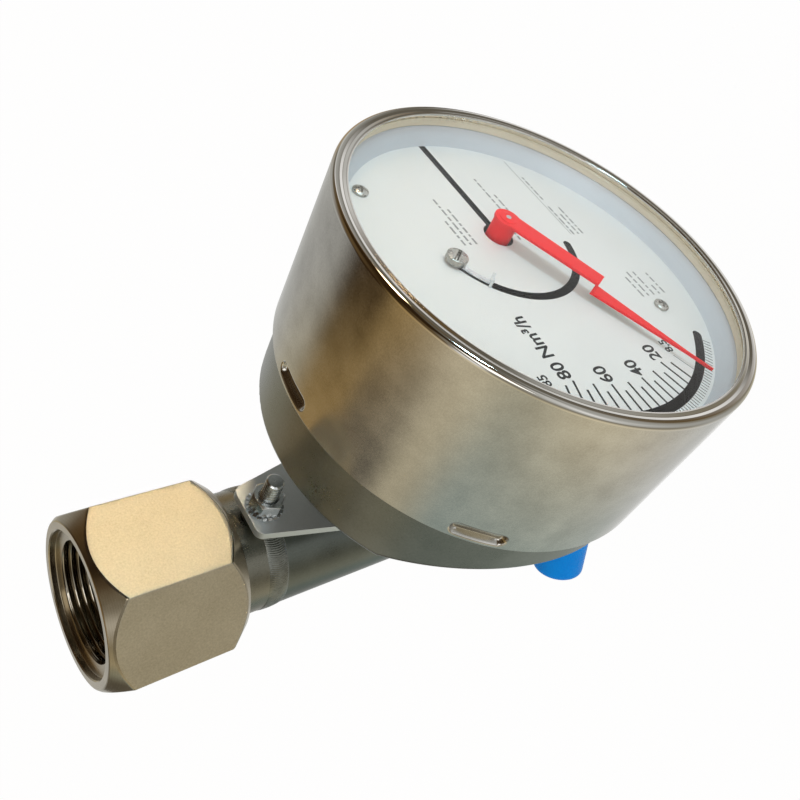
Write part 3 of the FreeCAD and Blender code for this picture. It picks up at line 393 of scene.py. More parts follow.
def buildPiece(name, patches, body, replaced=(), sharp=34):
    # patches are (grid of points, joined round or not, finish)
    points, faces, kinds, finishes = [], [], [], []
    start = 0
    for grid, joined, finish in patches:
        rows, columns = grid.shape[:2]
        index = start + np.arange(rows * columns).reshape(rows, columns)
        if joined:
            index = np.hstack([index, index[:, :1]])
        quads = quadsOf(index)
        if finish not in finishes:
            finishes.append(finish)
        points.append(grid.reshape(-1, 3))
        faces.append(quads)
        kinds.append(np.full(len(quads), finishes.index(finish), np.int32))
        start += rows * columns
    mesh = bpy.data.meshes.new(name)
    mesh.from_pydata(np.vstack(points).tolist(), [], np.vstack(faces).tolist())
    mesh.polygons.foreach_set("material_index", np.concatenate(kinds))
    return placePiece(name, mesh, finishes, body, replaced, sharp)


def placePiece(name, mesh, finishes, body, replaced=(), sharp=34):
    # edges that meet are merged and faces turned outwards
    work = bmesh.new()
    work.from_mesh(mesh)
    bmesh.ops.remove_doubles(work, verts=work.verts, dist=mergeGap)
    bmesh.ops.recalc_face_normals(work, faces=work.faces)
    if work.calc_volume(signed=True) < 0:
        bmesh.ops.reverse_faces(work, faces=work.faces)
    work.to_mesh(mesh)
    work.free()
    for finish in finishes:
        mesh.materials.append(finish)
    mesh.shade_smooth()
    mesh.set_sharp_from_angle(angle=math.radians(sharp))
    piece = bpy.data.objects.new(name, mesh)
    scene.collection.objects.link(piece)
    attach(piece, body)
    if replaced:
        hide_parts(*replaced)
    return piece


def softenedCopy(node, name, width, finish, body):
    # a merged copy of a solid whose edges are broken by a small bevel
    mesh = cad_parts[node].data.copy()
    mesh.name = name
    if "custom_normal" in mesh.attributes:
        mesh.attributes.remove(mesh.attributes["custom_normal"])
    mesh.materials.clear()
    work = bmesh.new()
    work.from_mesh(mesh)
    bmesh.ops.remove_doubles(work, verts=work.verts, dist=mergeGap)
    bmesh.ops.dissolve_limit(work, angle_limit=math.radians(0.5), verts=work.verts, edges=work.edges)
    work.to_mesh(mesh)
    work.free()
    piece = placePiece(name, mesh, [finish], body, [node])
    bevel = piece.modifiers.new("broken edges", "BEVEL")
    bevel.width = width * mm
    bevel.segments = 3
    bevel.limit_method = "ANGLE"
    bevel.angle_limit = math.radians(40)
    bevel.use_clamp_overlap = True
    bevel.harden_normals = True
    return piece


# Hexagons: flats face along y, the corners are slightly round
def hexagonAngles(flats, corner, perFlat, perCorner):
    # columns crowd at the corners
    reach = (flats / 2 - corner) / np.cos(np.pi / 6)
    edge = np.arctan(reach / 2 / (flats / 2))
    sector = np.concatenate([np.linspace(-edge, edge, perFlat, endpoint=False),
                             np.linspace(edge, np.pi / 3 - edge, perCorner, endpoint=False)])
    return (np.pi / 2 + np.arange(6)[:, None] * np.pi / 3 + sector).ravel()


def hexagonRadius(angles, flats, corner):
    # half the flats over the cosine off the flat's middle, or the corner's own arc past the end of the flat
    off = np.abs((angles - np.pi / 2 + np.pi / 6) % (np.pi / 3) - np.pi / 6)
    reach = (flats / 2 - corner) / np.cos(np.pi / 6)
    lean = np.pi / 6 - off
    arc = reach * np.cos(lean) + np.sqrt(np.maximum(corner ** 2 - (reach * np.sin(lean)) ** 2, 0))
    return np.where(off < np.arctan(reach / flats), flats / 2 / np.cos(off), arc)


crestShare, flankShare, runOutShare = 0.3, 0.45, 0.6  # of a thread's pitch


def threadSurface(angles, crest, root, pitch, low, high, place, steps=12):
    # a V groove wound round: distance along is pitch times the turns made, held between low and high, and the groove
    # dies away at both ends
    around = np.append(angles, angles[0] + turn)
    wound = (around - around[0]) / turn
    count = (int(np.ceil((high - low) / pitch)) + 1) * steps
    row = np.arange(-steps, count + 1) / steps
    along = low + pitch * (row[:, None] + wound)
    groove = np.clip((np.abs(row % 1 - 0.5) * 2 - crestShare) / flankShare, 0, 1)[:, None]
    runOut = np.clip(np.minimum(along - low, high - along) / (runOutShare * pitch), 0, 1)
    radius = crest + (root - crest) * groove * runOut
    return place(radius * np.cos(around), radius * np.sin(around), np.clip(along, low, high))


# Screwed pipe ends
coupling = {
    "flats": 55.0, "corner": 0.6, "length": 45.5, "mouthFace": 26.3, "mouthRise": 1.15, "rearFace": 26.0,
    "rearRise": 1.20, "neck": 21.2, "rootFillet": 1.8, "rootArc": 1.7, "weldPlane": 58.9, "seat": 23.4, "seatDepth": 2.2,
    "crest": 19.5, "root": 20.95, "pitch": 2.309, "threadLow": 2.8, "threadHigh": 27.7, "passage": 17.5,
    "lead": 2.0, "leadFillet": 0.8, "seatFillet": 0.3, "edge": 0.35, "perFlat": 28, "perCorner": 6, "overall": 245.0,
    "shares": (0, 0.03, 0.3, 0.7, 0.97, 1),
}


def makeCoupling(name, plan, place):
    # rows of one radius and one distance from the mouth for each angle; on the flats both follow the hexagon
    angles = hexagonAngles(plan["flats"], plan["corner"], plan["perFlat"], plan["perCorner"])
    outer = hexagonRadius(angles, plan["flats"], plan["corner"])
    edge, length, neck, seat, crest, bore = (plan[key] for key in ("edge", "length", "neck", "seat", "crest", "passage"))
    low, high, weld, foot = plan["threadLow"], plan["threadHigh"], plan["weldPlane"], neck + plan["rootFillet"]
    front = plan["mouthRise"] * (outer - plan["mouthFace"])
    rear = length - plan["rearRise"] * (outer - plan["rearFace"])

    def profileOf(*corners):
        return turnedSurface(roundedOutline(corners), angles, place)

    def between(first, last):
        # a run of rows that crowds at both ends, so that the shading stays flat between the broken edges
        return [tuple((1 - s) * a + s * b for a, b in zip(first, last)) for s in plan["shares"]]

    slopeFront, slopeRear = edge * plan["mouthRise"], edge * plan["rearRise"]
    mouth = between((seat + edge, 0), (plan["mouthFace"] - edge, 0))
    mouth += between((plan["mouthFace"] + edge / 2, slopeFront / 2), (outer - edge, front - slopeFront))
    mouth += [(outer, front + edge)]
    flats = between((outer, front + edge), (outer, rear - edge))
    back = [(outer, rear - edge)]
    back += between((outer - edge, rear + slopeRear), (plan["rearFace"] + edge / 2, length - slopeRear / 2))
    back += between((plan["rearFace"] - edge, length), (foot, length))
    mouth, flats, back = (stackedRows(rows, angles, place) for rows in (mouth, flats, back))
    inside = profileOf((foot, length, 0), (neck, length, plan["rootArc"]), (neck, weld, 0), (bore, weld, 0),
                       (bore, high + plan["lead"], plan["leadFillet"]), (crest, high, 0))
    thread = threadSurface(angles, crest, plan["root"], plan["pitch"], low, high, place)
    rim = profileOf((crest, low, 0), (seat, plan["seatDepth"], plan["seatFillet"]), (seat, edge, 0), (seat + edge, 0, 0))
    buildPiece(name, [(mouth, True, castTurned), (flats, True, castFlat), (back, True, castTurned),
                      (inside, True, neckTurned), (thread, False, castThread), (rim, True, castTurned)],
               "meter_body", [name.replace("threaded", "coupling")])


makeCoupling("inlet_threaded", coupling, onPipe)
makeCoupling("outlet_threaded", coupling, lambda x, y, along: onPipe(x, y, coupling["overall"] - along))
print("threaded pipe ends made")


# Metering tube and the weld beads at its ends
tube = {
    "radius": 21.2, "weldPlane": 58.9, "passage": 17.5, "grooveLow": 60.5, "grooveHigh": 62.0, "groove": 18.3,
    "shoulder": 70.0, "cone": 15.5, "throat": 13.6, "throatHeight": 78.0, "overall": 245.0, "columns": 160,
    "outsideRows": 9,
}


def makeTube(plan):
    # one outline round the wall: up the inside, the upper end being a mirror of the lower, and down the outside
    bore, weld, shoulder, groove = (plan[key] for key in ("passage", "weldPlane", "shoulder", "groove"))
    lower = [(plan["radius"], weld), (bore, weld), (bore, plan["grooveLow"]), (groove, plan["grooveLow"]),
             (groove, plan["grooveHigh"]), (bore, plan["grooveHigh"]), (bore, shoulder), (plan["cone"], shoulder)]
    upper = [(radius, plan["overall"] - height) for radius, height in reversed(lower)]
    wall = np.array([*lower, (plan["throat"], plan["throatHeight"]), *upper])
    columns = roundAngles(plan["columns"])
    patches = [(turnedSurface(run, columns, onPipe), True, pipeDrawn)
               for run in (wall, np.linspace(wall[-1], wall[0], plan["outsideRows"]))]
    buildPiece("measuring_tube_drawn", patches, "meter_body", ["measuring_tube"])


makeTube(tube)

bead = {"half": 3.7, "foot": 21.0, "rim": 21.16, "crown": 0.40, "rippleMm": 0.72, "ripple": 0.04, "chevron": 1.6,
        "sway": 0.8, "wander": ((0.12, 5, 1.3), (0.07, 13, 0.0)), "columns": 1100, "rows": 25}


def makeBead(name, plan, height, lean):
    # across the bead t runs from -1 to 1: the crown is an ellipse in t, and ripples lag by t squared so they form arrows
    angles = roundAngles(plan["columns"])
    t = np.linspace(-1, 1, plan["rows"])[:, None]
    ripples = round(turn * tube["radius"] / plan["rippleMm"])
    wave = np.sin(ripples * angles + lean * plan["chevron"] * turn * t ** 2 + plan["sway"] * np.sin(7 * angles + 3 * t))
    wander = sum(size * np.sin(count * angles + start) for size, count, start in plan["wander"])
    body = np.sqrt(np.maximum(1 - t ** 2, 0))
    radius = plan["rim"] + body * (plan["crown"] + plan["ripple"] * wave)
    along = height + plan["half"] * t + wander * np.abs(t)
    radius = np.pad(radius, ((1, 2), (0, 0)), constant_values=plan["foot"])
    along = np.vstack([along[:1], along, along[-1:], along[:1]])
    buildPiece(name, [(onPipe(radius * np.cos(angles), radius * np.sin(angles), along), True, weldMetal)],
               "meter_body")


makeBead("lower_weld_bead", bead, tube["weldPlane"], 1)
makeBead("upper_weld_bead", bead, tube["overall"] - tube["weldPlane"], -1)
print("tube and weld beads made")


# Bracket with its studs, toothed washers and nuts
softenedCopy("bracket_plate", "bracket_plate_softened", 0.45, sheetBlasted, "meter_body")

stud = {"reach": 64.8, "radius": 3.0, "root": 2.2, "pitch": 1.25, "foot": 23.3, "threadLow": 26.2, "threadHigh": 39.9,
        "tip": 40.4, "edge": 0.2, "chamfer": 0.5, "columns": 40}
washer = {"radius": 6.3, "bore": 3.2, "bodyRadius": 4.9, "teeth": 20, "gapShare": 0.26, "soft": 0.1, "back": 26.3,
          "gauge": 0.6, "twist": 0.25, "bend": 0.7, "rows": 7, "perTooth": 14}
nut = {"flats": 10.0, "corner": 0.25, "low": 27.4, "high": 32.4, "face": 4.75, "rise": 0.58, "bore": 3.05, "mouth": 3.5,
       "seatRise": 0.4, "edge": (0.12, 0.15, 0.09), "sink": 0.5, "perFlat": 10, "perCorner": 5, "spin": math.radians(15)}


def makeStud(name, plan, y, node):
    # a plain foot, a wound thread and a chamfered tip
    angles, radius, place = roundAngles(plan["columns"]), plan["radius"], onDialAt(0.0, y)
    low, high = plan["threadLow"], plan["threadHigh"]
    foot = roundedOutline([(0, plan["foot"], 0), (radius, plan["foot"], plan["edge"]), (radius, low, 0)])
    tip = roundedOutline([(radius, high, 0), (radius - plan["chamfer"], plan["tip"], plan["edge"]), (0, plan["tip"], 0)])
    thread = threadSurface(angles, radius, plan["root"], plan["pitch"], low, high, place, steps=8)
    buildPiece(name, [(turnedSurface(foot, angles, place), True, fastenerBright), (thread, False, fastenerBright),
                      (turnedSurface(tip, angles, place), True, fastenerBright)],
               "meter_body", [node])


def makeWasher(name, plan, y, node):
    # outer radius falls to the body between teeth, and every tooth is twisted about its own middle
    step = np.arange(plan["teeth"] * plan["perTooth"])
    angles = step * turn / len(step)
    local = (step % plan["perTooth"]) / plan["perTooth"] * 2 - 1  # -1 to 1 over one tooth and its gap
    tooth = np.clip((1 - plan["gapShare"] - np.abs(local)) / plan["soft"] + 0.5, 0, 1)
    reach = plan["bodyRadius"] + (plan["radius"] - plan["bodyRadius"]) * tooth
    share = np.linspace(0, 1, plan["rows"])[:, None]
    radius = plan["bore"] + (reach - plan["bore"]) * share
    free = np.clip((radius - plan["bodyRadius"]) / plan["bend"], 0, 1)
    lean = plan["twist"] * np.clip(local / (1 - plan["gapShare"]), -1, 1) * free
    middle = plan["back"] + plan["twist"] + plan["gauge"] / 2 + lean
    radius = np.vstack([radius, radius[::-1], radius[:1]])
    depth = np.vstack([middle - plan["gauge"] / 2, (middle + plan["gauge"] / 2)[::-1], middle[:1] - plan["gauge"] / 2])
    grid = onDialAt(0.0, y)(radius * np.cos(angles), radius * np.sin(angles), depth)
    buildPiece(name, [(grid, True, fastenerBright)], "meter_body", [node], sharp=28)


def makeNut(name, plan, y, node):
    # hexagon rows between a plain seat and a coned top, then down a bore with a countersink
    angles = hexagonAngles(plan["flats"], plan["corner"], plan["perFlat"], plan["perCorner"])
    outer = hexagonRadius(angles, plan["flats"], plan["corner"])
    fall = plan["high"] - plan["rise"] * (outer - plan["face"])
    under, inward, over = plan["edge"]
    seat, top = (plan["bore"], plan["low"]), plan["high"]
    rows = [seat, (plan["face"], plan["low"]), (outer, plan["low"] + plan["seatRise"] * (outer - plan["face"])),
            (outer, fall - under), (outer - inward, fall + over), (plan["face"], top), (plan["mouth"], top),
            (plan["bore"], top - plan["sink"]), seat]
    grid = stackedRows(rows, angles + plan["spin"], onDialAt(0.0, y))
    buildPiece(name, [(grid, True, fastenerBright)], "meter_body", [node], sharp=24)


for end, y in (("lower", -stud["reach"]), ("upper", stud["reach"])):
    makeStud(end + "_stud_threaded", stud, y, end + "_stud")
    makeWasher(end + "_washer_toothed", washer, y, end + "_washer")
    makeNut(end + "_nut_chamfered", nut, y, end + "_nut")


# Screws with a driven recess
def crossRecess(x, y, plan):
    # two crossed bars with soft edges
    across = np.minimum(np.abs(x), np.abs(y))
    along = np.maximum(np.abs(x), np.abs(y))
    return np.clip((plan["half"] - across) / plan["soft"], 0, 1) * np.clip((plan["reach"] - along) / plan["soft"], 0, 1)


def slotRecess(x, y, plan):
    return np.clip((plan["half"] - np.abs(y)) / plan["soft"], 0, 1) + 0 * x


def hexRecess(x, y, plan):
    far = np.max([np.abs(x * np.cos(a) + y * np.sin(a)) for a in (0, np.pi / 3, 2 * np.pi / 3)], 0)
    return np.clip((plan["half"] - far) / plan["soft"], 0, 1)


screwForm = {"drop": 0.05, "rimShare": 0.8, "seatArc": 0.1, "endArc": 0.2}  # the same on every screw


def makeScrew(name, plan, recess, place, node):
    # rows run from the head's middle out over its crown, down its side, in under it and along the shank to its end
    angles = roundAngles(plan["columns"])
    head, edge, shank, end = plan["head"], plan["edge"], plan["shank"], -plan["length"]
    radius = np.linspace(0, 1, plan["rings"])[:, None] * (head - edge)
    x, y = radius * np.cos(angles + plan["spin"]), radius * np.sin(angles + plan["spin"])
    crown = plan["rise"] - plan["dome"] * (radius / head) ** 2
    top = crown - plan["depth"] * recess(x, y, plan)
    rim = plan["rise"] - plan["dome"] - screwForm["drop"]
    side = roundedOutline([(head - edge, float(crown[-1, 0]), 0), (head, rim, edge * screwForm["rimShare"]),
                           (head, 0, screwForm["seatArc"]), (shank, 0, 0), (shank, end, screwForm["endArc"]), (0, end, 0)],
                          steps=4)
    buildPiece(name, [(place(radius * np.cos(angles), radius * np.sin(angles), top), True, plan["finish"]),
                      (turnedSurface(side, angles, place), True, plan["finish"])],
               "meter_body", [node], sharp=30)


housingScrew = {"head": 4.25, "rise": 2.6, "dome": 0.5, "edge": 0.4, "half": 1.5, "soft": 0.15, "depth": 1.4,
                "shank": 2.45, "length": 15.0, "rings": 26, "columns": 72, "spin": 0.0, "back": 23.3,
                "spots": (14.5, 22.0), "finish": fastenerBright}
spots = [(sx * housingScrew["spots"][0], sy * housingScrew["spots"][1]) for sx in (-1, 1) for sy in (-1, 1)]
for number, (sx, sy) in enumerate(spots, start=1):
    makeScrew(f"housing_screw_{number}_socketed", housingScrew, hexRecess,
              lambda x, y, along: onDial(sx - x, sy + y, housingScrew["back"] - along),
              f"housing_screw_{number}")
print("bracket and its fasteners made")


# Front cover: a drawn cap with a turned-in bezel and pressed dimples
cover = {
    "radius": 67.5, "gauge": 1.0, "back": 73.3, "edge": 0.3, "backArc": 0.25, "dimples": 6, "dimpleAngle": 23.0,
    "dimpleDepth": 77.1, "dimpleHalf": 6.2, "dimpleRadius": 2.6, "margin": 0.9, "floor": 65.4, "wall": 1.15, "zone": 81.6,
    "fine": 0.27, "plainFrom": 82.6, "plainRows": 10, "insideRows": [90.0, 110.0], "nearColumns": 68, "farColumns": 40,
    "bezel": [  # radius, depth and arc of each corner: outer roll, valley, bead, lip and back to the wall's inside
        (67.5, 129.0, 0), (67.5, 130.7, 1.5), (65.25, 130.68, 0.5), (64.35, 130.42, 0.5), (63.4, 130.7, 0.4),
        (62.7, 130.6, 0.36), (62.7, 129.9, 0.2), (66.5, 129.9, 0.69), (66.5, 129.2, 0)],
}


def makeCover(plan):
    # the wall's radius drops to the flat floor of a dimple inside a round-ended outline, over a steep smooth edge
    step = 360 / plan["dimples"]
    reach = math.degrees((plan["dimpleHalf"] + plan["dimpleRadius"] + plan["margin"]) / plan["radius"])
    near = np.linspace(-reach, reach, plan["nearColumns"])
    far = np.linspace(reach, step - reach, plan["farColumns"])[1:-1]
    sector = np.concatenate([near, far])
    angles = np.radians((plan["dimpleAngle"] + np.arange(plan["dimples"])[:, None] * step + sector).ravel())
    off = np.radians(np.tile(np.concatenate([near, np.full(len(far), step / 2)]), plan["dimples"]))

    def pressed(radius, depth, inset):
        along = np.abs(off) * plan["radius"]
        gap = np.hypot(np.maximum(along - plan["dimpleHalf"], 0), depth[:, None] - plan["dimpleDepth"])
        gap = gap - plan["dimpleRadius"] - inset
        share = np.clip(-gap / plan["wall"], 0, 1)
        share = share * share * (3 - 2 * share)
        floor = np.minimum((plan["floor"] - inset) / np.cos(off), radius)
        return radius + (floor - radius) * share

    def wallRows(depth, radius, inset):
        sunk = pressed(radius, depth, inset)
        return onDial(sunk * np.cos(angles), sunk * np.sin(angles), depth[:, None] + 0 * angles)

    radius, inner, back, arc = plan["radius"], plan["radius"] - plan["gauge"], plan["back"], plan["backArc"]
    zone = np.arange(back + plan["edge"], plan["zone"], plan["fine"])
    outerDepth = np.append(zone, np.linspace(plan["plainFrom"], plan["bezel"][0][1], plan["plainRows"]))
    innerDepth = np.append(zone[::2], plan["insideRows"] + [plan["bezel"][-1][1]])
    rear = roundedOutline([(inner, innerDepth[0], 0), (inner, back, arc), (radius, back, arc), (radius, outerDepth[0], 0)])
    buildPiece("front_cover_drawn", [
        (turnedSurface(rear, angles, onDial), True, coverSatin),
        (wallRows(outerDepth, radius, 0.0), True, coverSatin),
        (turnedSurface(roundedOutline(plan["bezel"], steps=10), angles, onDial), True, bezelPolished),
        (wallRows(innerDepth, inner, plan["gauge"]), True, coverSatin)],
               "cover", ["front_cover"], sharp=40)


makeCover(cover)
print("front cover made")


# Dial print: thin slabs of ink that lie on the dial
dial = {"front": 118.8, "ink": 0.05, "sunk": 0.02, "pivot": (16.6, 2.9), "degrees": 0.61, "level": 51.0, "reach": 54.1,
        "longMark": 9.8, "shortMark": 7.3, "half": 0.34, "thinShare": 0.45, "values": [8.5, *range(15, 90, 5)]}


def inkSlabs(name, quads, finish):
    # every quad of dial points becomes a closed slab from just under the dial's face to the ink's height
    count = len(quads)
    low = onDial(quads[..., 0], quads[..., 1], dial["front"] - dial["sunk"])
    high = onDial(quads[..., 0], quads[..., 1], dial["front"] + dial["ink"])
    points = np.concatenate([low, high], 1).reshape(-1, 3)
    sides = np.array([[0, 1, 2, 3], [4, 5, 6, 7], [0, 1, 5, 4], [1, 2, 6, 5], [2, 3, 7, 6], [3, 0, 4, 7]])
    faces = (np.arange(count)[:, None, None] * 8 + sides).reshape(-1, 4)
    mesh = bpy.data.meshes.new(name)
    mesh.from_pydata(points.tolist(), [], faces.tolist())
    placePiece(name, mesh, [finish], "meter_body")


def strokes(starts, ends, halves):
    # straight strokes as quads: both ends moved sideways by the half width
    run = ends - starts
    side = np.stack([-run[:, 1], run[:, 0]], -1) / np.linalg.norm(run, axis=1)[:, None] * np.reshape(halves, (-1, 1))
    return np.stack([starts - side, ends - side, ends + side, starts + side], 1)


values = np.array(dial["values"])
slope = np.radians(dial["degrees"] * (values - dial["level"]))
ray = np.stack([-np.cos(slope), np.sin(slope)], -1)
pivot = np.array(dial["pivot"])
ahead = ray @ pivot
reach = -ahead + np.sqrt(ahead ** 2 - pivot @ pivot + dial["reach"] ** 2)
length = np.where(values % 10 == 0, dial["longMark"], dial["shortMark"])
marks = strokes(pivot + ray * (reach - length)[:, None], pivot + ray * reach[:, None],
                np.where(values < 10, dial["half"] * dial["thinShare"], dial["half"]))
fineMarks = {"radius": (57.3, 59.8), "from": 131.0, "to": 229.0, "count": 72, "half": 0.1}
fine = np.radians(np.linspace(fineMarks["from"], fineMarks["to"], fineMarks["count"]))
fineRay = np.stack([np.cos(fine), np.sin(fine)], -1)
fine = strokes(fineRay * fineMarks["radius"][0], fineRay * fineMarks["radius"][1], [fineMarks["half"]])
inkSlabs("scale_marks", np.concatenate([marks[1:], fine]), inkBlack)

smallPrint = [  # left end, right end and height of a line too small to read
    (14, 26, 19.4), (14, 37, 17.0), (14, 33, 14.6), (14, 30, -4.5), (28, 46, -7.6), (28, 37, -10.4), (14, 29, -30.6),
    (14, 26.5, -33.0), (14, 29.5, -35.2), (32, 46, -31.0), (-17, -7, -36.0), (-17, -4.5, -38.8), (-17, -4.5, -41.8),
    (-17, -11, -44.8), (-17, -5.5, -47.6)]
wordPlan = {"lengths": [2.3, 1.2, 3.1, 1.7, 2.6, 0.9], "gap": 0.8, "half": 0.36, "shrink": 0.978}
words = []
for number, (left, right, y) in enumerate(np.array(smallPrint) * wordPlan["shrink"]):
    runs = np.roll(np.tile(wordPlan["lengths"], 4), number)
    ends = left + np.cumsum(runs + wordPlan["gap"]) - wordPlan["gap"]
    kept = ends < right
    flat = np.full(kept.sum(), y)
    words.append(strokes(np.stack([(ends - runs)[kept], flat], -1), np.stack([ends[kept], flat], -1), [wordPlan["half"]]))
ruleLine = {"from": (14.0, -28.6), "to": (52.0, -28.6), "half": 0.09}
rule = strokes(np.array([ruleLine["from"]]), np.array([ruleLine["to"]]), [ruleLine["half"]])
inkSlabs("dial_small_print", np.concatenate([marks[:1], *words, rule]), inkGrey)

scaleWords = {  # text, left end x, middle height y and figure height, mm
    "numbers": [("20", -40.0, -16.6, 4.5), ("40", -43.4, -4.4, 4.5), ("60", -42.8, 8.8, 4.5),
                ("80 Nm³/h", -38.4, 22.2, 4.5), ("8,5", -38.6, -24.9, 3.1), ("85", -39.2, 30.0, 3.1)],
    "thick": 0.035, "wide": 0.92, "bold": 0.02, "figure": 0.70,  # the last is a figure's height in the font at size 1
}


def printWords(name, plan):
    # each text is made a mesh first, then scaled to its figure height and laid on the dial
    work = bmesh.new()
    for text, x, y, height in plan["numbers"]:
        letters = bpy.data.curves.new("letters", "FONT")
        letters.body = text
        letters.extrude = 0.5
        letters.offset = plan["bold"]
        maker = bpy.data.objects.new("letters", letters)
        scene.collection.objects.link(maker)
        bpy.context.view_layer.update()
        flat = bpy.data.meshes.new_from_object(maker.evaluated_get(bpy.context.evaluated_depsgraph_get()))
        spots = np.array([vertex.co for vertex in flat.vertices], float)
        tall = height / plan["figure"]
        placed = onDial(x + spots[:, 0] * tall * plan["wide"], y - height / 2 + spots[:, 1] * tall,
                        dial["front"] + spots[:, 2] * 2 * plan["thick"])
        flat.vertices.foreach_set("co", placed.astype(np.float32).ravel())
        work.from_mesh(flat)
        bpy.data.objects.remove(maker)
        bpy.data.meshes.remove(flat)
    mesh = bpy.data.meshes.new(name)
    work.to_mesh(mesh)
    work.free()
    placePiece(name, mesh, [inkBlack], "meter_body")


printWords("scale_figures", scaleWords)
print("dial print made")

dialScrew = {"head": 2.5, "rise": 1.4, "dome": 0.6, "edge": 0.25, "half": 0.36, "reach": 1.6, "soft": 0.12, "depth": 0.7,
             "shank": 1.45, "length": 7.5, "rings": 26, "columns": 72, "spin": 0.5, "seat": 118.8, "finish": screwPlated,
             "spots": {"upper": (39.2, 41.2), "lower": (-21.5, -38.9)}}
for end, spot in dialScrew["spots"].items():
    makeScrew(end + "_dial_screw_crossed", dialScrew, crossRecess, onDialAt(*spot, dialScrew["seat"]),
              end + "_dial_screw")

stopScrew = {"head": 3.3, "rise": 2.2, "dome": 0.4, "edge": 0.35, "half": 0.45, "soft": 0.12, "depth": 1.2,
             "shank": 1.15, "length": 5.6, "rings": 28, "columns": 72, "spin": 0.9, "seat": 119.6, "finish": screwPlated,
             "angle": 110.0, "slot": 26.6}
stopAngle = math.radians(stopScrew["angle"])
stopPlace = pivot + stopScrew["slot"] * np.array([math.cos(stopAngle), math.sin(stopAngle)])
makeScrew("stop_screw_slotted", stopScrew, slotRecess, onDialAt(*stopPlace, stopScrew["seat"]), "stop_screw")

# Adjustable stop: a narrow strip along the slot that ends in an upturned tab
stopStrip = {"half": 0.8, "tabHalf": 1.8, "low": 118.8, "high": 119.6, "tabHigh": 121.6, "from": 106.0, "tabFrom": 134.3,
             "to": 136.0, "rows": 24}


def makeStop(plan):
    # four corners of a section go along the slot: half width and top change at the tab, and both ends close to a line
    run = [(a, plan["half"], plan["high"]) for a in np.linspace(plan["from"], plan["tabFrom"], plan["rows"])]
    tab = [(a, plan["tabHalf"], plan["tabHigh"]) for a in (plan["tabFrom"], plan["to"])]
    rows = np.array([(plan["from"], 0, plan["low"]), *run, *tab, (plan["to"], 0, plan["low"])])
    angle, half, high = np.radians(rows[:, :1]), rows[:, 1:2], rows[:, 2:]
    radius = stopScrew["slot"] + half * np.array([-1, 1, 1, -1])
    depth = np.where(np.array([True, True, False, False]), plan["low"], high)
    grid = onDialAt(*pivot)(radius * np.cos(angle), radius * np.sin(angle), depth)
    buildPiece("stop_strip_bent", [(grid, True, fastenerBright)], "meter_body", ["stop_strip"])


makeStop(stopStrip)


def markFaces(piece, finish, chosen):
    # the faces whose normal passes the test take the second finish
    normals = np.array([face.normal for face in piece.data.polygons])
    piece.data.materials.append(finish)
    piece.data.polygons.foreach_set("material_index", chosen(normals).astype(np.int32))


# Against the solid, the blade at the tip is shallower and the pointer turned down the scale, as in the photograph
pointerTrim = {"edge": 0.16, "tipReach": 65.6, "middle": 121.4, "half": 0.45, "degrees": -1.0}
pointer = softenedCopy("pointer", "pointer_lacquered", pointerTrim["edge"], pointerLacquer, "pointer")
markFaces(pointer, pointerBare, lambda normals: normals[:, 1] > 0.5)
for vertex in pointer.data.vertices:
    across, depth, high = np.array(vertex.co) / mm
    if np.hypot(across - pivot[0], high - dialHeight - pivot[1]) > pointerTrim["tipReach"]:
        off = np.clip(-depth - pointerTrim["middle"], -pointerTrim["half"], pointerTrim["half"])
        vertex.co.y = -mm * (pointerTrim["middle"] + off)
hub = Vector(onDial(*pivot, 0.0))
spin = Matrix.Rotation(math.radians(pointerTrim["degrees"]), 4, "Y")
pointer.data.transform(Matrix.Translation(hub) @ spin @ Matrix.Translation(-hub))
dialCopy = softenedCopy("dial_plate", "dial_plate_enamelled", 0.03, dialEnamel, "meter_body")
# painted shade: every wall of the dial plate, in its slots, holes and round its rim, takes the black, so the slots and
# the dial's edge look deep and dark
markFaces(dialCopy, inkBlack, lambda normals: np.abs(normals[:, 1]) < 0.5)  # the slots' walls are blackened

boss = {  # radius, depth and arc of each corner
    "ring": [(0, 125.2, 0), (2.9, 125.2, 0), (2.9, 125.6, 0.18), (0.85, 125.6, 0)],
    "eye": [(0.85, 125.6, 0), (0.85, 125.72, 0.05), (0, 125.72, 0)],
    "columns": 48,
}
bossAngles = roundAngles(boss["columns"])
buildPiece("pointer_boss", [(turnedSurface(roundedOutline(boss[part]), bossAngles, onDialAt(*pivot)), True, finish)
                            for part, finish in (("ring", pointerLacquer), ("eye", movementAluminium))],
           "pointer")
print("dial fittings and pointer made")


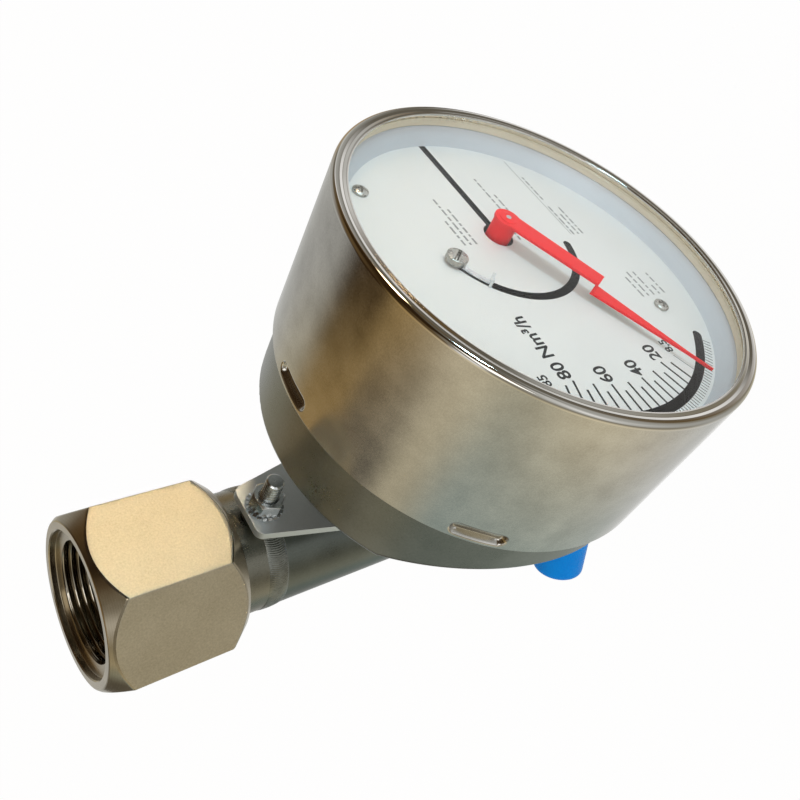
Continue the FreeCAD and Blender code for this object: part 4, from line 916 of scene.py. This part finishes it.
# Cable entry cap
cap = {
    "foot": (-52.3, -55.84, 107.8), "out": (-0.4610, 0.8874, 0.0), "columns": 96,
    "outside": [  # radius, distance along and arc of each corner: skirt, collar, wall, end and the dent of the gate
        (6.5, 18.5, 0), (6.5, 2.5, 0.2), (8.8, 2.5, 0.4), (8.75, 4.9, 0), (8.65, 5.3, 0), (8.4, 20.1, 2.6),
        (1.6, 20.1, 0), (1.1, 19.75, 0), (0, 19.75, 0)],
    "inside": [(0, 18.5, 0), (6.5, 18.5, 0)],
}
capOut = np.array(cap["out"]) / np.linalg.norm(cap["out"])
capSide = np.array([0.0, 0.0, 1.0])
capAcross = np.cross(capSide, capOut)


def onEntry(x, y, along):
    # x and y across the cap, along its own axis
    x, y, along = np.broadcast_arrays(x, y, along)
    return mm * (np.array(cap["foot"]) + x[..., None] * capAcross + y[..., None] * capSide + along[..., None] * capOut)


capAngles = roundAngles(cap["columns"])
capOutlines = [roundedOutline(cap[part], steps=8) for part in ("outside", "inside")]
buildPiece("entry_cap_moulded", [(turnedSurface(run, capAngles, onEntry), True, capPolyethylene) for run in capOutlines],
           "meter_body", ["entry_cap"])
print("cable entry cap made")


# Floor: pale, white to the eye, with the object's shadow
floorPlan = {"half": 6.0, "lines": 9, "level": -0.0002, "white": 0.97, "tone": "#f6f6f6"}
floorFinish = bpy.data.materials.new("pale_studio_floor")
tree = emptyTree(floorFinish)
share = addNode(tree, "Math", {0: rayMasks(tree)[1], 1: floorPlan["white"]}, operation="MULTIPLY")
matt = addNode(tree, "BsdfDiffuse", {"Color": linearColour(floorPlan["tone"])})
white = addNode(tree, "Emission", {"Color": linearColour("#ffffff"), "Strength": 1.0})
mixed = addNode(tree, "MixShader", {0: share.outputs[0], 1: matt.outputs[0], 2: white.outputs[0]})
addNode(tree, "OutputMaterial", {"Surface": mixed.outputs[0]})
side = np.linspace(-floorPlan["half"], floorPlan["half"], floorPlan["lines"])
across, along = np.meshgrid(side, side)
corners = np.stack([across, along, np.full_like(across, floorPlan["level"])], -1).reshape(-1, 3)
floorMesh = bpy.data.meshes.new("floor")
floorMesh.from_pydata(corners.tolist(), [], quadsOf(np.arange(len(corners)).reshape(across.shape)).tolist())
floorMesh.materials.append(floorFinish)
floor = bpy.data.objects.new("floor", floorMesh)
scene.collection.objects.link(floor)
floor.visible_glossy = False  # the metal sees the studio all round
print("floor made")
